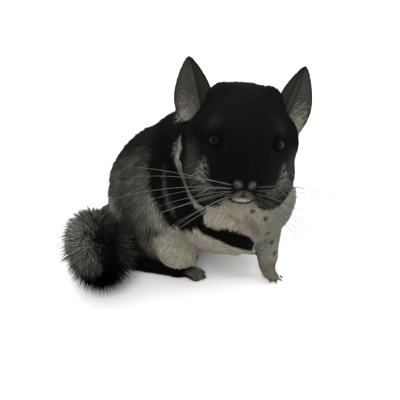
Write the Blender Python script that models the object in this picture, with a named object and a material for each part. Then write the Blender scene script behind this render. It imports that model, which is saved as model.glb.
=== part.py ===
"""A chinchilla, life size, squatting on the floor with its head turned to its right, its right forepaw tucked up
under the chest and its brush of a tail curled forwards beside it.

Metres, +Z up. While it is built the body faces -Y and its left side is +X. At the end the whole animal is moved so
that the origin is the centre of the bottom of its box. Every length below is in millimetres, and every surface is
that of the coat and not of the bare skin.
"""

import math
import random

import bmesh
import bpy
from mathutils import Matrix, Vector
from mathutils.bvhtree import BVHTree

MM = 0.001
GAP = 0.3  # between two nodes that meet
BODY_VOXEL = 1.3  # the grain at which the blocks of flesh are run together
PAW_VOXEL = 0.6
BODY_TRIANGLES = 2250  # on the whole body, as the torso and legs are cut from it
HEAD_TRIANGLES = 4300  # on the whole body, as the head is cut from it
PAW_TRIANGLES = 260
SEED = 7
SIDES = ((-1, "right"), (1, "left"))
FLOOR = ((0, 0, 0), (0, 0, -1))

# The head has its own frame: the nose points along -Y and the middle of the skull is the origin.
HEAD_PLACE = (20.6, -13.0, 91.0)
HEAD_TURN = -38.5  # degrees about Z: it looks to its right
HEAD_NOD = 4.0
HEAD_TILT = 5.5  # the left eye is the lower one

EYE_PLACE = (15.2, -19.6, 8.4)
EYE_RADIUS = 5.6
EYE_FACING = (0.6, -0.78, 0.22)
EYE_OPENING = (4.5, 2.9)  # half its length and half its height
LID = 0.8

EAR_ROOT = (23.5, 13.0, 3.0)
EAR_TIP = (34.0, 23.0, 41.0)
EAR_HALF_WIDTH = 11.2
EAR_OUTER = 1.14  # of that, how wide the half is that lies away from the crown
EAR_CUP = 5.5
EAR_THICK = 1.3
EAR_OUTWARD = 14.0  # degrees that the cup is turned out from straight ahead
# From the ear's root, 0, to its tip, 1: the share of its half width there.
EAR_OUTLINE = (
    (0.0, 0.6),
    (0.1, 0.78),
    (0.25, 0.96),
    (0.4, 1.0),
    (0.5, 0.95),
    (0.6, 0.85),
    (0.7, 0.71),
    (0.8, 0.54),
    (0.9, 0.32),
    (1.0, 0.04),
)

WHISKERS = 7
WHISKER_LENGTH = 56.0
WHISKER_RADIUS = 0.45

BRUSH_LOCKS = 68
LOCK_LENGTH = 26.0
LOCK_WIDTH = 10.5
LOCK_THICK = 2.4
LOCK_DROOP = 0.18  # of its length, by which a lock's tip bends away from a straight line
LOCK_SWEEP = (45, 30)  # degrees towards the end of the tail: at its root, and what is added at its end
BRUSH_CORE = 0.5  # of the way from the middle of the tail to the tips of its hair

# A station is x, y, z, half width, half height.
TRUNK = (
    (6, 84, 40, 8, 8),
    (6, 80, 40, 19, 19),
    (8, 72, 41, 28, 27),
    (10, 60, 44, 34, 33),
    (13, 45, 49, 37, 39),
    (16, 28, 53, 37, 43),
    (19, 9, 56, 36, 42),
    (21, -9, 57, 33, 37),
    (22, -23, 58, 30, 29),
    (21, -34, 60, 23, 21),
    (20, -40, 61, 12, 12),
)
NECK = (
    (14, 36, 66, 26, 28),
    (16, 22, 74, 29, 30),
    (18, 6, 80, 31, 30),
    (20, -12, 86, 28, 27),
)
SKULL = (
    (0, -38, -9.5, 4, 4),
    (0, -36, -9, 9.5, 9.5),
    (0, -32, -7.5, 15.5, 14),
    (0, -26, -5, 21, 18),
    (0, -18, -2.5, 25.5, 22.5),
    (0, -8, 0, 29, 26.5),
    (0, 4, 1.5, 31, 28.5),
    (0, 15, 2, 29, 28),
    (0, 27, 0, 25, 25),
    (0, 35, -2, 14, 15),
)
HEAD_MARGIN = 6  # the head is parted from the neck this far outside the skull's loft
TAIL_BASE = (
    (6, 72, 34, 12, 12),
    (6, 80, 28, 11, 11),
    (-4, 85, 18, 9, 9),
    (-18, 82, 13, 10, 10),
    (-31, 73, 13, 11, 12),
)
# The middle line of the brush, with how far the tips of its hair stand off that line.
BRUSH = (
    (-22, 80, 13, 14, 14),
    (-31, 73, 16.5, 20, 20),
    (-38, 63, 19, 24, 24),
    (-43, 52, 19.5, 25.5, 25.5),
    (-48, 41, 18.5, 25.5, 25.5),
    (-52.5, 32, 18, 24, 24),
    (-56, 25, 18, 13, 13),
)
HAUNCH = (19, 31, 33)
HAUNCHES = {"right": (-12, 44, 36), "left": (40, 50, 36)}
THIGH_FRONT = (12.5, 14, 11)  # the loose skin that hangs from the belly to the foot, ahead of the haunch
THIGH_FRONTS = {"right": (-8.5, 12, 18), "left": (40, 23, 18)}
PELVIS_TURN = -13.0

# Each hind foot lies on the floor: the middle of its heel and of its toes' ends.
HIND_FEET = {"right": ((-24, 38), (1, -1)), "left": ((45, 48), (58, 2))}

FORELEGS = {
    "left": (
        (40, -9, 52, 14, 15),
        (40, -13, 43, 13.5, 15),
        (38, -18, 33, 11, 12),
        (36, -22, 20, 8, 8.5),
        (35, -25, 9, 6.5, 7),
    ),
    "right": (
        (-9, -2, 55, 11, 11),
        (-10, -10, 44, 9.5, 9.5),
        (-6, -18, 38, 8, 8),
        (0, -25, 35, 6.5, 6.5),
        (5, -28, 34, 5.5, 6),
    ),
}
FORELEG_UP = {"left": (0, -1, 0), "right": (0, 0, 1)}
# For each forepaw: the middle of its sole, the way that its toes point, and the cut through the wrist.
FOREPAWS = {"left": (34.5, -26.5, 0), "right": (8, -29, 28)}
FOREPAW_WAYS = {"left": (-0.1, -1, 0), "right": (0.9, -0.17, -0.4)}
WRISTS = {"left": ((35, -25, 10), (0.05, 0.35, 0.94)), "right": ((4, -28, 33.5), (-0.85, 0.45, 0.2))}
WRIST_BALLS = {"left": (0, 2.5, 8), "right": (0, 6, 4)}  # in the paw's own frame

# Where the neck is parted from the torso, and the base of the tail from its brush.
NECK_CUT = (20, 20, 77)
NECK_AXIS = (0, 0.35, -0.94)
TAIL_CUT = (-25, 78, 13)
TAIL_AXIS = (-0.75, -0.65, 0.1)


def clear_scene():
    for thing in list(bpy.data.objects):
        bpy.data.objects.remove(thing)


def spline(rows, steps):
    """A smooth run through rows of numbers, by Catmull and Rom's rule, with so many steps to a span."""
    run = []
    for i in range(len(rows) - 1):
        four = (rows[max(i - 1, 0)], rows[i], rows[i + 1], rows[min(i + 2, len(rows) - 1)])
        for k in range(steps):
            t = k / steps
            weights = (
                -0.5 * t + t * t - 0.5 * t**3,
                1 - 2.5 * t * t + 1.5 * t**3,
                0.5 * t + 2 * t * t - 1.5 * t**3,
                -0.5 * t * t + 0.5 * t**3,
            )
            run.append([sum(w * row[j] for w, row in zip(weights, four)) for j in range(len(rows[i]))])
    run.append(list(rows[-1]))
    return run


def link(name, mesh):
    thing = bpy.data.objects.new(name, mesh)
    bpy.context.scene.collection.objects.link(thing)
    return thing


def solid(name, points, faces):
    """A closed object from points in millimetres, in triangles whose faces are turned outwards."""
    mesh = bpy.data.meshes.new(name)
    mesh.from_pydata([Vector(point) * MM for point in points], [], faces)
    form = bmesh.new()
    form.from_mesh(mesh)
    bmesh.ops.recalc_face_normals(form, faces=form.faces)
    if form.calc_volume(signed=True) < 0:
        bmesh.ops.reverse_faces(form, faces=form.faces)
    bmesh.ops.triangulate(form, faces=form.faces, quad_method="FIXED")
    form.to_mesh(mesh)
    form.free()
    return link(name, mesh)


def rings(loops):
    """The faces of a tube of rings with equal counts, closed by a face at each end."""
    sides = len(loops[0])
    faces = [tuple(reversed(range(sides))), tuple(range((len(loops) - 1) * sides, len(loops) * sides))]
    for i in range(len(loops) - 1):
        for k in range(sides):
            a = i * sides + k
            b = i * sides + (k + 1) % sides
            faces.append((a, b, b + sides, a + sides))
    return faces


def loft(name, stations, up=(0, 0, 1), sides=20, steps=5, square=2.0, pear=0.0):
    """A closed body round a line of stations.

    up is the way in which height is measured. square is the power of the section's curve, 2 for an ellipse. pear is
    the share by which the lower part is wider than the middle.
    """
    rows = spline(stations, steps)
    loops = []
    for i, row in enumerate(rows):
        ahead, behind = rows[min(i + 1, len(rows) - 1)], rows[max(i - 1, 0)]
        along = (Vector(ahead[:3]) - Vector(behind[:3])).normalized()
        side = along.cross(Vector(up)).normalized()
        lift = side.cross(along)
        centre = Vector(row[:3])
        loop = []
        for k in range(sides):
            turn = math.tau * k / sides
            across = math.copysign(abs(math.cos(turn)) ** (2 / square), math.cos(turn))
            rise = math.copysign(abs(math.sin(turn)) ** (2 / square), math.sin(turn))
            wide = row[3] * (1 - pear * rise)
            loop.append(centre + side * (wide * across) + lift * (row[4] * rise))
        loops.append(loop)
    return solid(name, [point for loop in loops for point in loop], rings(loops))


def ball(name, centre, radii, turn=Matrix(), segments=24):
    """An ellipsoid of three half sizes, turned by a matrix."""
    form = bmesh.new()
    bmesh.ops.create_uvsphere(form, u_segments=segments, v_segments=segments * 2 // 3, radius=1.0)
    place = Matrix.Scale(MM, 4) @ Matrix.Translation(centre) @ turn @ Matrix.Diagonal((*radii, 1))
    bmesh.ops.transform(form, matrix=place, verts=form.verts)
    mesh = bpy.data.meshes.new(name)
    form.to_mesh(mesh)
    form.free()
    return link(name, mesh)


def half_space(name, point, normal, reach=200.0):
    """A great block on the far side of a plane, the side that the normal points to."""
    form = bmesh.new()
    bmesh.ops.create_cube(form, size=2 * reach)
    turn = Vector(normal).to_track_quat("Z", "Y").to_matrix().to_4x4()
    place = Matrix.Scale(MM, 4) @ Matrix.Translation(point) @ turn @ Matrix.Translation((0, 0, reach))
    bmesh.ops.transform(form, matrix=place, verts=form.verts)
    mesh = bpy.data.meshes.new(name)
    form.to_mesh(mesh)
    form.free()
    return link(name, mesh)


def grown(thing, by=GAP):
    """Swells a piece along its normals, so that what it cuts stays clear of it."""
    form = bmesh.new()
    form.from_mesh(thing.data)
    form.normal_update()
    for vert in form.verts:
        vert.co += vert.normal * (by * MM * min(1.5, vert.calc_shell_factor()))
    form.to_mesh(thing.data)
    form.free()
    return thing


def wider(stations, by):
    """The same stations with a margin round them and beyond their two ends."""
    rows = [[*row[:3], row[3] + by, row[4] + by] for row in stations]
    for end, inner in ((0, 1), (-1, -2)):
        out = (Vector(rows[end][:3]) - Vector(rows[inner][:3])).normalized() * by
        rows[end][:3] = Vector(rows[end][:3]) + out
    return rows


def about_z(degrees):
    return Matrix.Rotation(math.radians(degrees), 4, "Z")


def head_matrix():
    """Carries the head's own frame to its place on the body, in millimetres."""
    nod = Matrix.Rotation(math.radians(HEAD_NOD), 4, "X")
    tilt = Matrix.Rotation(math.radians(HEAD_TILT), 4, "Y")
    return Matrix.Translation(HEAD_PLACE) @ about_z(HEAD_TURN) @ nod @ tilt


def to_head(thing):
    """Moves a piece that was made in the head's frame to its place."""
    thing.data.transform(Matrix.Scale(MM, 4) @ head_matrix() @ Matrix.Scale(1 / MM, 4))
    return thing


def bake(thing):
    """Applies the modifiers."""
    shape = bpy.data.meshes.new_from_object(thing.evaluated_get(bpy.context.evaluated_depsgraph_get()))
    thing.modifiers.clear()
    thing.data = shape
    return thing


def boolean(thing, others, operation, solver="EXACT"):
    """Joins others to the thing, cuts them out of it or keeps what they share, and removes them."""
    group = bpy.data.collections.new("group")
    bpy.context.scene.collection.children.link(group)
    for other in others:
        bpy.context.scene.collection.objects.unlink(other)
        group.objects.link(other)
    step = thing.modifiers.new("step", "BOOLEAN")
    step.operand_type = "COLLECTION"
    step.collection = group
    step.operation = operation
    step.solver = solver
    bake(thing)
    for other in others:
        bpy.data.objects.remove(other)
    bpy.data.collections.remove(group)
    return thing


def cut(thing, *others):
    """Cuts other pieces out of the thing, one after another."""
    for other in others:
        boolean(thing, [other], "DIFFERENCE", "MANIFOLD")
    return thing


def keep(thing, other):
    return boolean(thing, [other], "INTERSECT", "MANIFOLD")


def copy(thing, name):
    return link(name, thing.data.copy())


def merge(name, things):
    """One object that holds the meshes of all the things."""
    form = bmesh.new()
    for thing in things:
        form.from_mesh(thing.data)
        bpy.data.objects.remove(thing)
    mesh = bpy.data.meshes.new(name)
    form.to_mesh(mesh)
    form.free()
    return link(name, mesh)


def run_together(name, things, grain, softness):
    """Runs blocks of flesh together into one surface and softens the joints between them."""
    thing = merge(name, things)
    voxels = thing.modifiers.new("voxels", "REMESH")
    voxels.mode = "VOXEL"
    voxels.voxel_size = grain * MM
    soft = thing.modifiers.new("soft", "SMOOTH")
    soft.factor = 0.5
    soft.iterations = softness
    return bake(thing)


def largest(thing):
    """Keeps only the largest closed surface."""
    form = bmesh.new()
    form.from_mesh(thing.data)
    left = set(form.verts)
    islands = []
    while left:
        front = [left.pop()]
        island = set(front)
        while front:
            for edge in front.pop().link_edges:
                for vert in edge.verts:
                    if vert in left:
                        left.discard(vert)
                        island.add(vert)
                        front.append(vert)
        islands.append(island)
    islands.sort(key=len)
    for island in islands[:-1]:
        bmesh.ops.delete(form, geom=list(island), context="VERTS")
    form.to_mesh(thing.data)
    form.free()
    return thing


def thin_out(thing, triangles):
    """Keeps the largest surface and brings it down to about so many triangles."""
    largest(thing)
    thing.data.calc_loop_triangles()
    fewer = thing.modifiers.new("fewer", "DECIMATE")
    fewer.ratio = min(1.0, triangles / len(thing.data.loop_triangles))
    return bake(thing)


def material(name, colour, roughness):
    surface = bpy.data.materials.new(name)
    surface.use_nodes = True
    shader = surface.node_tree.nodes["Principled BSDF"]
    shader.inputs["Base Color"].default_value = (*colour, 1)
    shader.inputs["Roughness"].default_value = roughness
    surface.diffuse_color = (*colour, 1)
    return surface


def finish(thing, colour, roughness=0.9):
    """Gives a node its own material and smooth shading."""
    largest(thing)
    thing.data.materials.clear()
    thing.data.materials.append(material(f"{thing.name}_coat", colour, roughness))
    thing.data.shade_smooth()
    thing.data.set_sharp_from_angle(angle=math.radians(40))
    return thing


def skull_loft(name, stations=SKULL, steps=5):
    return loft(name, stations, sides=28, steps=steps, square=2.9, pear=0.27)


def head_cell():
    return to_head(skull_loft("cell", wider(SKULL, HEAD_MARGIN), 1))


def skull():
    """The blocks of the head: skull, crown, temples, full cheeks, the two pads of the muzzle, nose and chin."""
    blocks = [skull_loft("skull")]
    for side in (-1, 1):
        blocks.append(ball("crown", (side * 13, 9, 19.7), (11, 14, 12.5)))
        blocks.append(ball("temple", (side * 19.5, -1, 1), (14, 17, 19)))
        blocks.append(ball("cheek", (side * 19.5, -6, -15), (14, 18, 14.5)))
        blocks.append(ball("muzzle_pad", (side * 6.5, -30.5, -13.5), (8.5, 8, 7.5)))
    blocks.append(ball("nose", (0, -37, -8), (5, 3.6, 4)))
    blocks.append(ball("chin", (0, -26, -20.5), (8, 7.5, 6)))
    return [to_head(block) for block in blocks]


def haunch(name, centre):
    return ball(name, centre, HAUNCH, about_z(PELVIS_TURN))


def flesh():
    """The whole body but the paws, as one surface."""
    blocks = skull()
    blocks.append(loft("trunk", TRUNK, sides=28, square=2.1))
    blocks.append(loft("neck", NECK, sides=24))
    for side, word in SIDES:
        blocks.append(haunch("haunch", HAUNCHES[word]))
        blocks.append(ball("fold", THIGH_FRONTS[word], THIGH_FRONT))
        blocks.append(loft("foreleg", FORELEGS[word], up=FORELEG_UP[word], sides=16))
    blocks.append(loft("tail", TAIL_BASE, sides=16))
    return run_together("flesh", blocks, BODY_VOXEL, 6)


def in_head(point):
    return head_matrix() @ Vector(point)


def on_face(tree, x, z):
    """The point of the face, in the head's frame, that is seen from the front at so much across and up."""
    start = in_head((x, -90, z)) * MM
    ahead = head_matrix().to_3x3() @ Vector((0, 1, 0))
    return head_matrix().inverted() @ (tree.ray_cast(start, ahead)[0] / MM)


def tube(name, points, radius, sides=6):
    """A round tube through points, thinner towards its ends."""
    last = len(points) - 1
    stations = []
    for i, point in enumerate(points):
        thick = radius * (0.35 + 0.65 * math.sin(math.pi * i / last))
        stations.append((*point, thick, thick))
    return loft(name, stations, up=(0.1, 1, 0.05), sides=sides, steps=1)


def mouth_line(tree):
    """The line of the mouth, which bends down and back to each side."""
    return [on_face(tree, x, -18.6 - 0.035 * x * x) for x in (-7.5, -5, -2.5, 0, 2.5, 5, 7.5)]


def face_of(head):
    """Cuts and raises the features of the head: lips, mouth, cleft, nostrils, lids and the openings of the eyes."""
    mesh = head.data
    tree = BVHTree.FromPolygons([v.co for v in mesh.vertices], [p.vertices for p in mesh.polygons])
    mouth = mouth_line(tree)
    cleft = [on_face(tree, 0, z) + Vector((0, 0.2, 0)) for z in (-10.5, -13, -15.5, -18.2)]
    boolean(head, [to_head(tube("lips", mouth, 1.5))], "UNION", "MANIFOLD")
    cut(head, to_head(tube("mouth", mouth, 0.7)), to_head(tube("cleft", cleft, 0.9)))
    for side in (-1, 1):
        slant = Matrix.Rotation(math.radians(side * 30), 4, "Y") @ Matrix.Rotation(math.radians(side * 30), 4, "Z")
        nostril = on_face(tree, side * 2.9, -8)
        cut(head, to_head(ball("nostril", nostril, (1.5, 1.6, 0.8), slant, segments=12)))
    for side in (-1, 1):
        boolean(head, [eyeball("lid", side, LID)], "UNION", "MANIFOLD")
        cut(head, eyeball("socket", side, GAP))
        facing = Vector((side * EYE_FACING[0], EYE_FACING[1], EYE_FACING[2])).normalized()
        turn = facing.to_track_quat("-Y", "Z").to_matrix().to_4x4()
        centre = Vector((side * EYE_PLACE[0], EYE_PLACE[1], EYE_PLACE[2])) + facing * EYE_RADIUS
        cut(head, to_head(ball("opening", centre, (EYE_OPENING[0], 5, EYE_OPENING[1]), turn, segments=16)))


def eyeball(name, side, more=0.0):
    centre = (side * EYE_PLACE[0], EYE_PLACE[1], EYE_PLACE[2])
    radius = EYE_RADIUS + more
    return to_head(ball(name, centre, (radius, radius, radius), segments=14))


def share_at(table, place):
    """The value of a table of places and values at one place, on a straight line between its rows."""
    for (a, low), (b, high) in zip(table, table[1:]):
        if place <= b:
            return low + (high - low) * (place - a) / (b - a)
    return table[-1][1]


def ear(name, side):
    """An ear as a leaf, cupped towards the front and the outside, of even thickness."""
    rows, columns = 9, 6
    root = Vector((side * EAR_ROOT[0], EAR_ROOT[1], EAR_ROOT[2]))
    tip = Vector((side * EAR_TIP[0], EAR_TIP[1], EAR_TIP[2]))
    along = (tip - root).normalized()
    out = math.radians(EAR_OUTWARD)
    ahead = Vector((side * math.sin(out), -math.cos(out), 0))
    across = along.cross(ahead).normalized()
    ahead = across.cross(along)
    middle = []
    for i in range(rows + 1):
        v = 0.985 * i / rows
        half = EAR_HALF_WIDTH * share_at(EAR_OUTLINE, v)
        cup = EAR_CUP * (1.2 - v)
        line = []
        for j in range(columns + 1):
            t = 2 * j / columns - 1
            wide = half * t * (EAR_OUTER if t * side > 0 else 1)
            line.append(root.lerp(tip, v) + across * wide + ahead * (cup * abs(t) ** 1.5))
        middle.append(line)
    half_thick = EAR_THICK / 2
    front, back = [], []
    for i in range(rows + 1):
        for j in range(columns + 1):
            down, up = middle[max(i - 1, 0)][j], middle[min(i + 1, rows)][j]
            left, right = middle[i][max(j - 1, 0)], middle[i][min(j + 1, columns)]
            normal = (up - down).cross(right - left).normalized()
            front.append(middle[i][j] + normal * half_thick)
            back.append(middle[i][j] - normal * half_thick)
    faces = []
    wide = columns + 1
    count = wide * (rows + 1)
    for i in range(rows):
        for j in range(columns):
            a = i * wide + j
            for one, two, three in ((a, a + 1, a + wide + 1), (a, a + wide + 1, a + wide)):
                faces.append((one, two, three))
                faces.append((one + count, three + count, two + count))
    rim = [j for j in range(wide)] + [i * wide + columns for i in range(1, rows + 1)]
    rim += [rows * wide + j for j in range(columns - 1, -1, -1)] + [i * wide for i in range(rows - 1, 0, -1)]
    for k, one in enumerate(rim):
        two = rim[(k + 1) % len(rim)]
        faces.append((one, two, two + count, one + count))
    return to_head(solid(name, front + back, faces))


def whisker(side, number, draw):
    """A stiff hair that tapers from the pad outwards, bending down and back."""
    share = number / (WHISKERS - 1)
    root = Vector((side * (8.5 + 3.5 * (number % 2)), -31.5 + 2.5 * (number % 2), -9.5 - 8 * share))
    rise = 0.36 - 0.62 * share + draw.uniform(-0.05, 0.05)
    ahead = -0.42 + draw.uniform(-0.05, 0.05)
    length = WHISKER_LENGTH * draw.uniform(0.75, 1.0)
    way = Vector((side, ahead, rise)).normalized()
    bend = Vector((0, 0.14, -0.16)) * length
    stations = []
    for i in range(4):
        t = i / 3
        point = root + way * (length * t) + bend * (t * t)
        thick = WHISKER_RADIUS * (1 - 0.7 * t)
        stations.append((*point, thick, thick))
    return to_head(loft("whisker", stations, up=(0, 0, 1), sides=3, steps=1))


def pad_cell(name, side):
    """The part of the muzzle that bears the whiskers of one side."""
    return to_head(ball(name, (side * 10, -31, -13.5), (6, 8, 6.5), segments=12))


def whisker_pad(name, side, head):
    draw = random.Random(SEED + side)
    pad = keep(copy(head, name), pad_cell("cell", side))
    hairs = [whisker(side, number, draw) for number in range(WHISKERS)]
    return boolean(pad, hairs, "UNION", "MANIFOLD")


def claw(place, way, length, radius):
    """A small claw, bent down."""
    stations = []
    for i in range(4):
        t = i / 3
        point = Vector(place) + Vector(way) * (length * t) + Vector((0, 0, -0.25 * length * t * t))
        stations.append((*point, radius * (1 - 0.75 * t), radius * (1 - 0.75 * t)))
    return loft("claw", stations, sides=6, steps=1)


def toes(spread, reach, thick, palm, drop):
    """The toes of one foot, fanned out along -Y from the palm, and their claws."""
    fleshy, horny = [], []
    for number, angle in enumerate(spread):
        turn = math.radians(angle)
        way = Vector((math.sin(turn), -math.cos(turn), 0))
        root = Vector(palm) + way * 1.5
        length = reach[number]
        tip = root + way * length
        fleshy.append(loft("toe", (
            (*root, thick, thick),
            (*(root + way * (0.35 * length)), thick, thick * 1.05),
            (*(root + way * (0.7 * length) - Vector((0, 0, 0.5 * drop))), thick * 0.9, thick * 0.9),
            (*(tip - Vector((0, 0, drop))), thick * 0.55, thick * 0.55),
        ), sides=10, steps=3))
        horny.append(claw(tip - way * 1.2 - Vector((0, 0, drop * 0.8)), way, 0.9 * thick + 2.2, 0.4 * thick))
    return fleshy, horny


def paw(name, blocks, claws, place):
    """Runs a paw's blocks together, sets the claws in and carries it to its place."""
    thing = thin_out(run_together(name, blocks, PAW_VOXEL, 3), PAW_TRIANGLES)
    boolean(thing, claws, "UNION", "MANIFOLD")
    thing.data.transform(Matrix.Scale(MM, 4) @ place @ Matrix.Scale(1 / MM, 4))
    return thing


def forepaw(name, place, wrist):
    fleshy, claws = toes((-36, -13, 11, 35), (6.3, 7.6, 7.6, 6.3), 2.1, (0, -0.5, 2.9), 0.9)
    blocks = fleshy + [
        ball("palm", (0, 0, 3.6), (5.6, 4.6, 4.0)),
        ball("wrist", wrist, (6, 6, 6.3)),
    ]
    return paw(name, blocks, claws, place)


def hind_foot(name, heel, tips):
    """A long foot that lies on the floor from the heel to three long toes and a short one."""
    way = Vector((tips[0] - heel[0], tips[1] - heel[1], 0))
    length = way.length
    place = Matrix.Translation((*heel, 0)) @ about_z(math.degrees(math.atan2(way.x, -way.y)))
    ball_of_foot = length - 15
    fleshy, claws = toes((-22, -4, 14, 40), (13, 15, 13.5, 9), 3.0, (0, -ball_of_foot, 4.0), 1.2)
    sole = loft("sole", (
        (0, 4, 7, 4, 5),
        (0, 0, 7.5, 7.5, 8),
        (0, -0.3 * length, 6.5, 7.5, 7.5),
        (0, -0.6 * length, 5.5, 7.5, 6.5),
        (0, -ball_of_foot, 4.5, 7.8, 5.5),
        (0, -ball_of_foot - 3, 4, 5.5, 4),
    ), sides=18, steps=3)
    return paw(name, fleshy + [sole], claws, place)


def foot_cell(heel, tips):
    """A plain sole-shaped block round a hind foot, which clears a place for it under the body."""
    way = Vector((tips[0] - heel[0], tips[1] - heel[1], 0)).normalized()
    start, end = Vector((*heel, 7)) - way * 5, Vector((*tips, 5))
    return loft("cell", (
        (*start, 6, 7), (*(start + way * 5), 8.2, 9), (*start.lerp(end, 0.5), 8.6, 8.4), (*end, 11, 7)),
        sides=12, steps=2)


def lock(root, way, flat, length, width, thick):
    """A flat lock of hair that bends along its lie and tapers to a point."""
    way, flat = way.normalized(), flat.normalized()
    across = way.cross(flat).normalized()
    loops = 3
    points = []
    for i in range(loops):
        t = 0.38 * i
        centre = root + way * (length * t) - flat * (LOCK_DROOP * length * t * t)
        wide = 0.5 * width * (0.75 + 1.2 * t - 1.7 * t * t)
        deep = 0.5 * thick * (1 - 0.6 * t)
        points += [centre + across * wide, centre + flat * deep, centre - across * wide, centre - flat * deep]
    points.append(root + way * length - flat * (LOCK_DROOP * length))
    last = 4 * (loops - 1)
    faces = [(0, 2, 1), (0, 3, 2)]
    faces += [(last + k, last + (k + 1) % 4, last + 4) for k in range(4)]
    for a in range(last):
        b = a + 1 if a % 4 < 3 else a - 3
        faces += [(a, b, b + 4), (a, b + 4, a + 4)]
    return solid("lock", points, faces)


def brush(name):
    """The bushy end of the tail: long locks on every side of a core, their tips swept towards the end."""
    draw = random.Random(SEED)
    core = [(x, y, z, wide * BRUSH_CORE, high * BRUSH_CORE) for x, y, z, wide, high in BRUSH]
    thing = loft(name, core, sides=12, steps=2)
    rows = spline(BRUSH, 12)
    locks = []
    for number in range(BRUSH_LOCKS):
        share = (number + 0.5) / BRUSH_LOCKS
        place = 0.02 + 0.94 * share
        i = int(place * (len(rows) - 2))
        row = rows[i]
        along = (Vector(rows[i + 1][:3]) - Vector(rows[i][:3])).normalized()
        side = along.cross(Vector((0, 0, 1))).normalized()
        turn = number * math.radians(137.5) + draw.uniform(-0.2, 0.2)
        radial = side * math.cos(turn) + side.cross(along) * math.sin(turn)
        sweep = math.radians(LOCK_SWEEP[0] + LOCK_SWEEP[1] * share**4 + draw.uniform(-7, 7))
        way = radial * math.cos(sweep) + along * math.sin(sweep)
        flat = radial * math.sin(sweep) - along * math.cos(sweep)
        root = Vector(row[:3]) + radial * (row[3] * BRUSH_CORE * 0.35)
        length = LOCK_LENGTH * (row[3] / 22) * draw.uniform(0.9, 1.08)
        locks.append(lock(root, way, flat, length, LOCK_WIDTH * draw.uniform(0.85, 1.1), LOCK_THICK))
    return boolean(thing, locks, "UNION", "MANIFOLD")


def haunch_cell(side, centre):
    place = (centre[0] + side * 8, centre[1], centre[2])
    size = [half + more for half, more in zip(HAUNCH, (8, 4, 4))]
    return ball("cell", place, size, about_z(PELVIS_TURN), segments=16)


def foreleg_cell(word, stations):
    return loft("cell", wider(stations, 2), up=FORELEG_UP[word], sides=14, steps=2)


def tail_cell():
    rows = [(1, 86, 23, 10, 10)] + list(TAIL_BASE[2:])
    return loft("cell", wider(rows, 3), sides=12, steps=2)


def parting(point, normal):
    """The two blocks that part a piece along a plane, with a gap between: what lies ahead, and what lies behind."""
    point, normal = Vector(point), Vector(normal).normalized()
    return half_space("ahead", point - normal * GAP, normal), half_space("behind", point, -normal)


def main():
    clear_scene()
    rest = flesh()
    head = keep(thin_out(copy(rest, "head"), HEAD_TRIANGLES), head_cell())
    cut(thin_out(rest, BODY_TRIANGLES), grown(head_cell()))
    make_head(head)
    for side, word in SIDES:
        cut(rest, grown(ear("slot", side)))
    neck_side, torso_side = parting(NECK_CUT, NECK_AXIS)
    neck = cut(copy(rest, "neck"), neck_side)
    cut(rest, torso_side)
    torso = copy(rest, "torso")
    for side, word in SIDES:
        make_hind_leg(word, side, rest, torso)
        make_foreleg(word, rest, torso)
    make_tail(rest, torso)
    cut(bpy.data.objects["forepaw_right"], grown(copy(torso, "clear")))
    bpy.data.objects.remove(rest)
    finish(neck, (0.1, 0.1, 0.1))
    finish(torso, (0.15, 0.15, 0.14))
    stand_on_origin()


def make_head(head):
    face_of(head)
    for side, word in SIDES:
        finish(eyeball(f"eye_{word}", side), (0.01, 0.008, 0.008), 0.1)
        cut(head, grown(ear("slot", side)))
        finish(ear(f"ear_{word}", side), (0.12, 0.11, 0.1), 0.7)
        pad = finish(whisker_pad(f"whiskers_{word}", side, head), (0.35, 0.34, 0.31), 0.6)
        cut(head, grown(copy(pad, "clear")))
    finish(head, (0.02, 0.022, 0.024))


def make_hind_leg(word, side, rest, torso):
    heel, tips = HIND_FEET[word]
    foot = hind_foot(f"hind_foot_{word}", heel, tips)
    cut(foot, half_space("floor", *FLOOR))
    finish(foot, (0.3, 0.29, 0.26))
    thigh = keep(copy(rest, f"haunch_{word}"), haunch_cell(side, HAUNCHES[word]))
    cut(thigh, grown(foot_cell(heel, tips)))
    finish(thigh, (0.1, 0.1, 0.1))
    cut(torso, grown(haunch_cell(side, HAUNCHES[word])), grown(foot_cell(heel, tips)))


def make_foreleg(word, rest, torso):
    wrist_ahead, wrist_behind = parting(*WRISTS[word])
    leg = keep(copy(rest, f"foreleg_{word}"), foreleg_cell(word, FORELEGS[word]))
    cut(leg, wrist_behind)
    finish(leg, (0.3, 0.29, 0.26))
    cut(torso, grown(foreleg_cell(word, FORELEGS[word])))
    turn = Vector(FOREPAW_WAYS[word]).normalized().to_track_quat("-Y", "Z").to_matrix().to_4x4()
    hand = forepaw(f"forepaw_{word}", Matrix.Translation(FOREPAWS[word]) @ turn, WRIST_BALLS[word])
    cut(hand, wrist_ahead, half_space("floor", *FLOOR))
    finish(hand, (0.2, 0.18, 0.15))


def make_tail(rest, torso):
    brush_side, base_side = parting(TAIL_CUT, TAIL_AXIS)
    base = keep(copy(rest, "tail_base"), tail_cell())
    cut(base, brush_side, half_space("floor", *FLOOR))
    cut(torso, grown(tail_cell()))
    finish(base, (0.05, 0.05, 0.05))
    end = cut(brush("tail_brush"), base_side, half_space("floor", *FLOOR))
    cut(end, grown(haunch("clear", HAUNCHES["right"]), 2 * GAP), grown(foot_cell(*HIND_FEET["right"])))
    finish(end, (0.06, 0.06, 0.055))


def stand_on_origin():
    """Moves every node so that the origin is the centre of the bottom of the animal's box."""
    things = [thing for thing in bpy.data.objects if thing.type == "MESH"]
    corners = [vert.co for thing in things for vert in thing.data.vertices]
    low = Vector([min(corner[k] for corner in corners) for k in range(3)])
    high = Vector([max(corner[k] for corner in corners) for k in range(3)])
    shift = Vector((-(low.x + high.x) / 2, -(low.y + high.y) / 2, -low.z))
    for thing in things:
        thing.data.transform(Matrix.Translation(shift))


if __name__ == "__main__":
    main()
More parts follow.
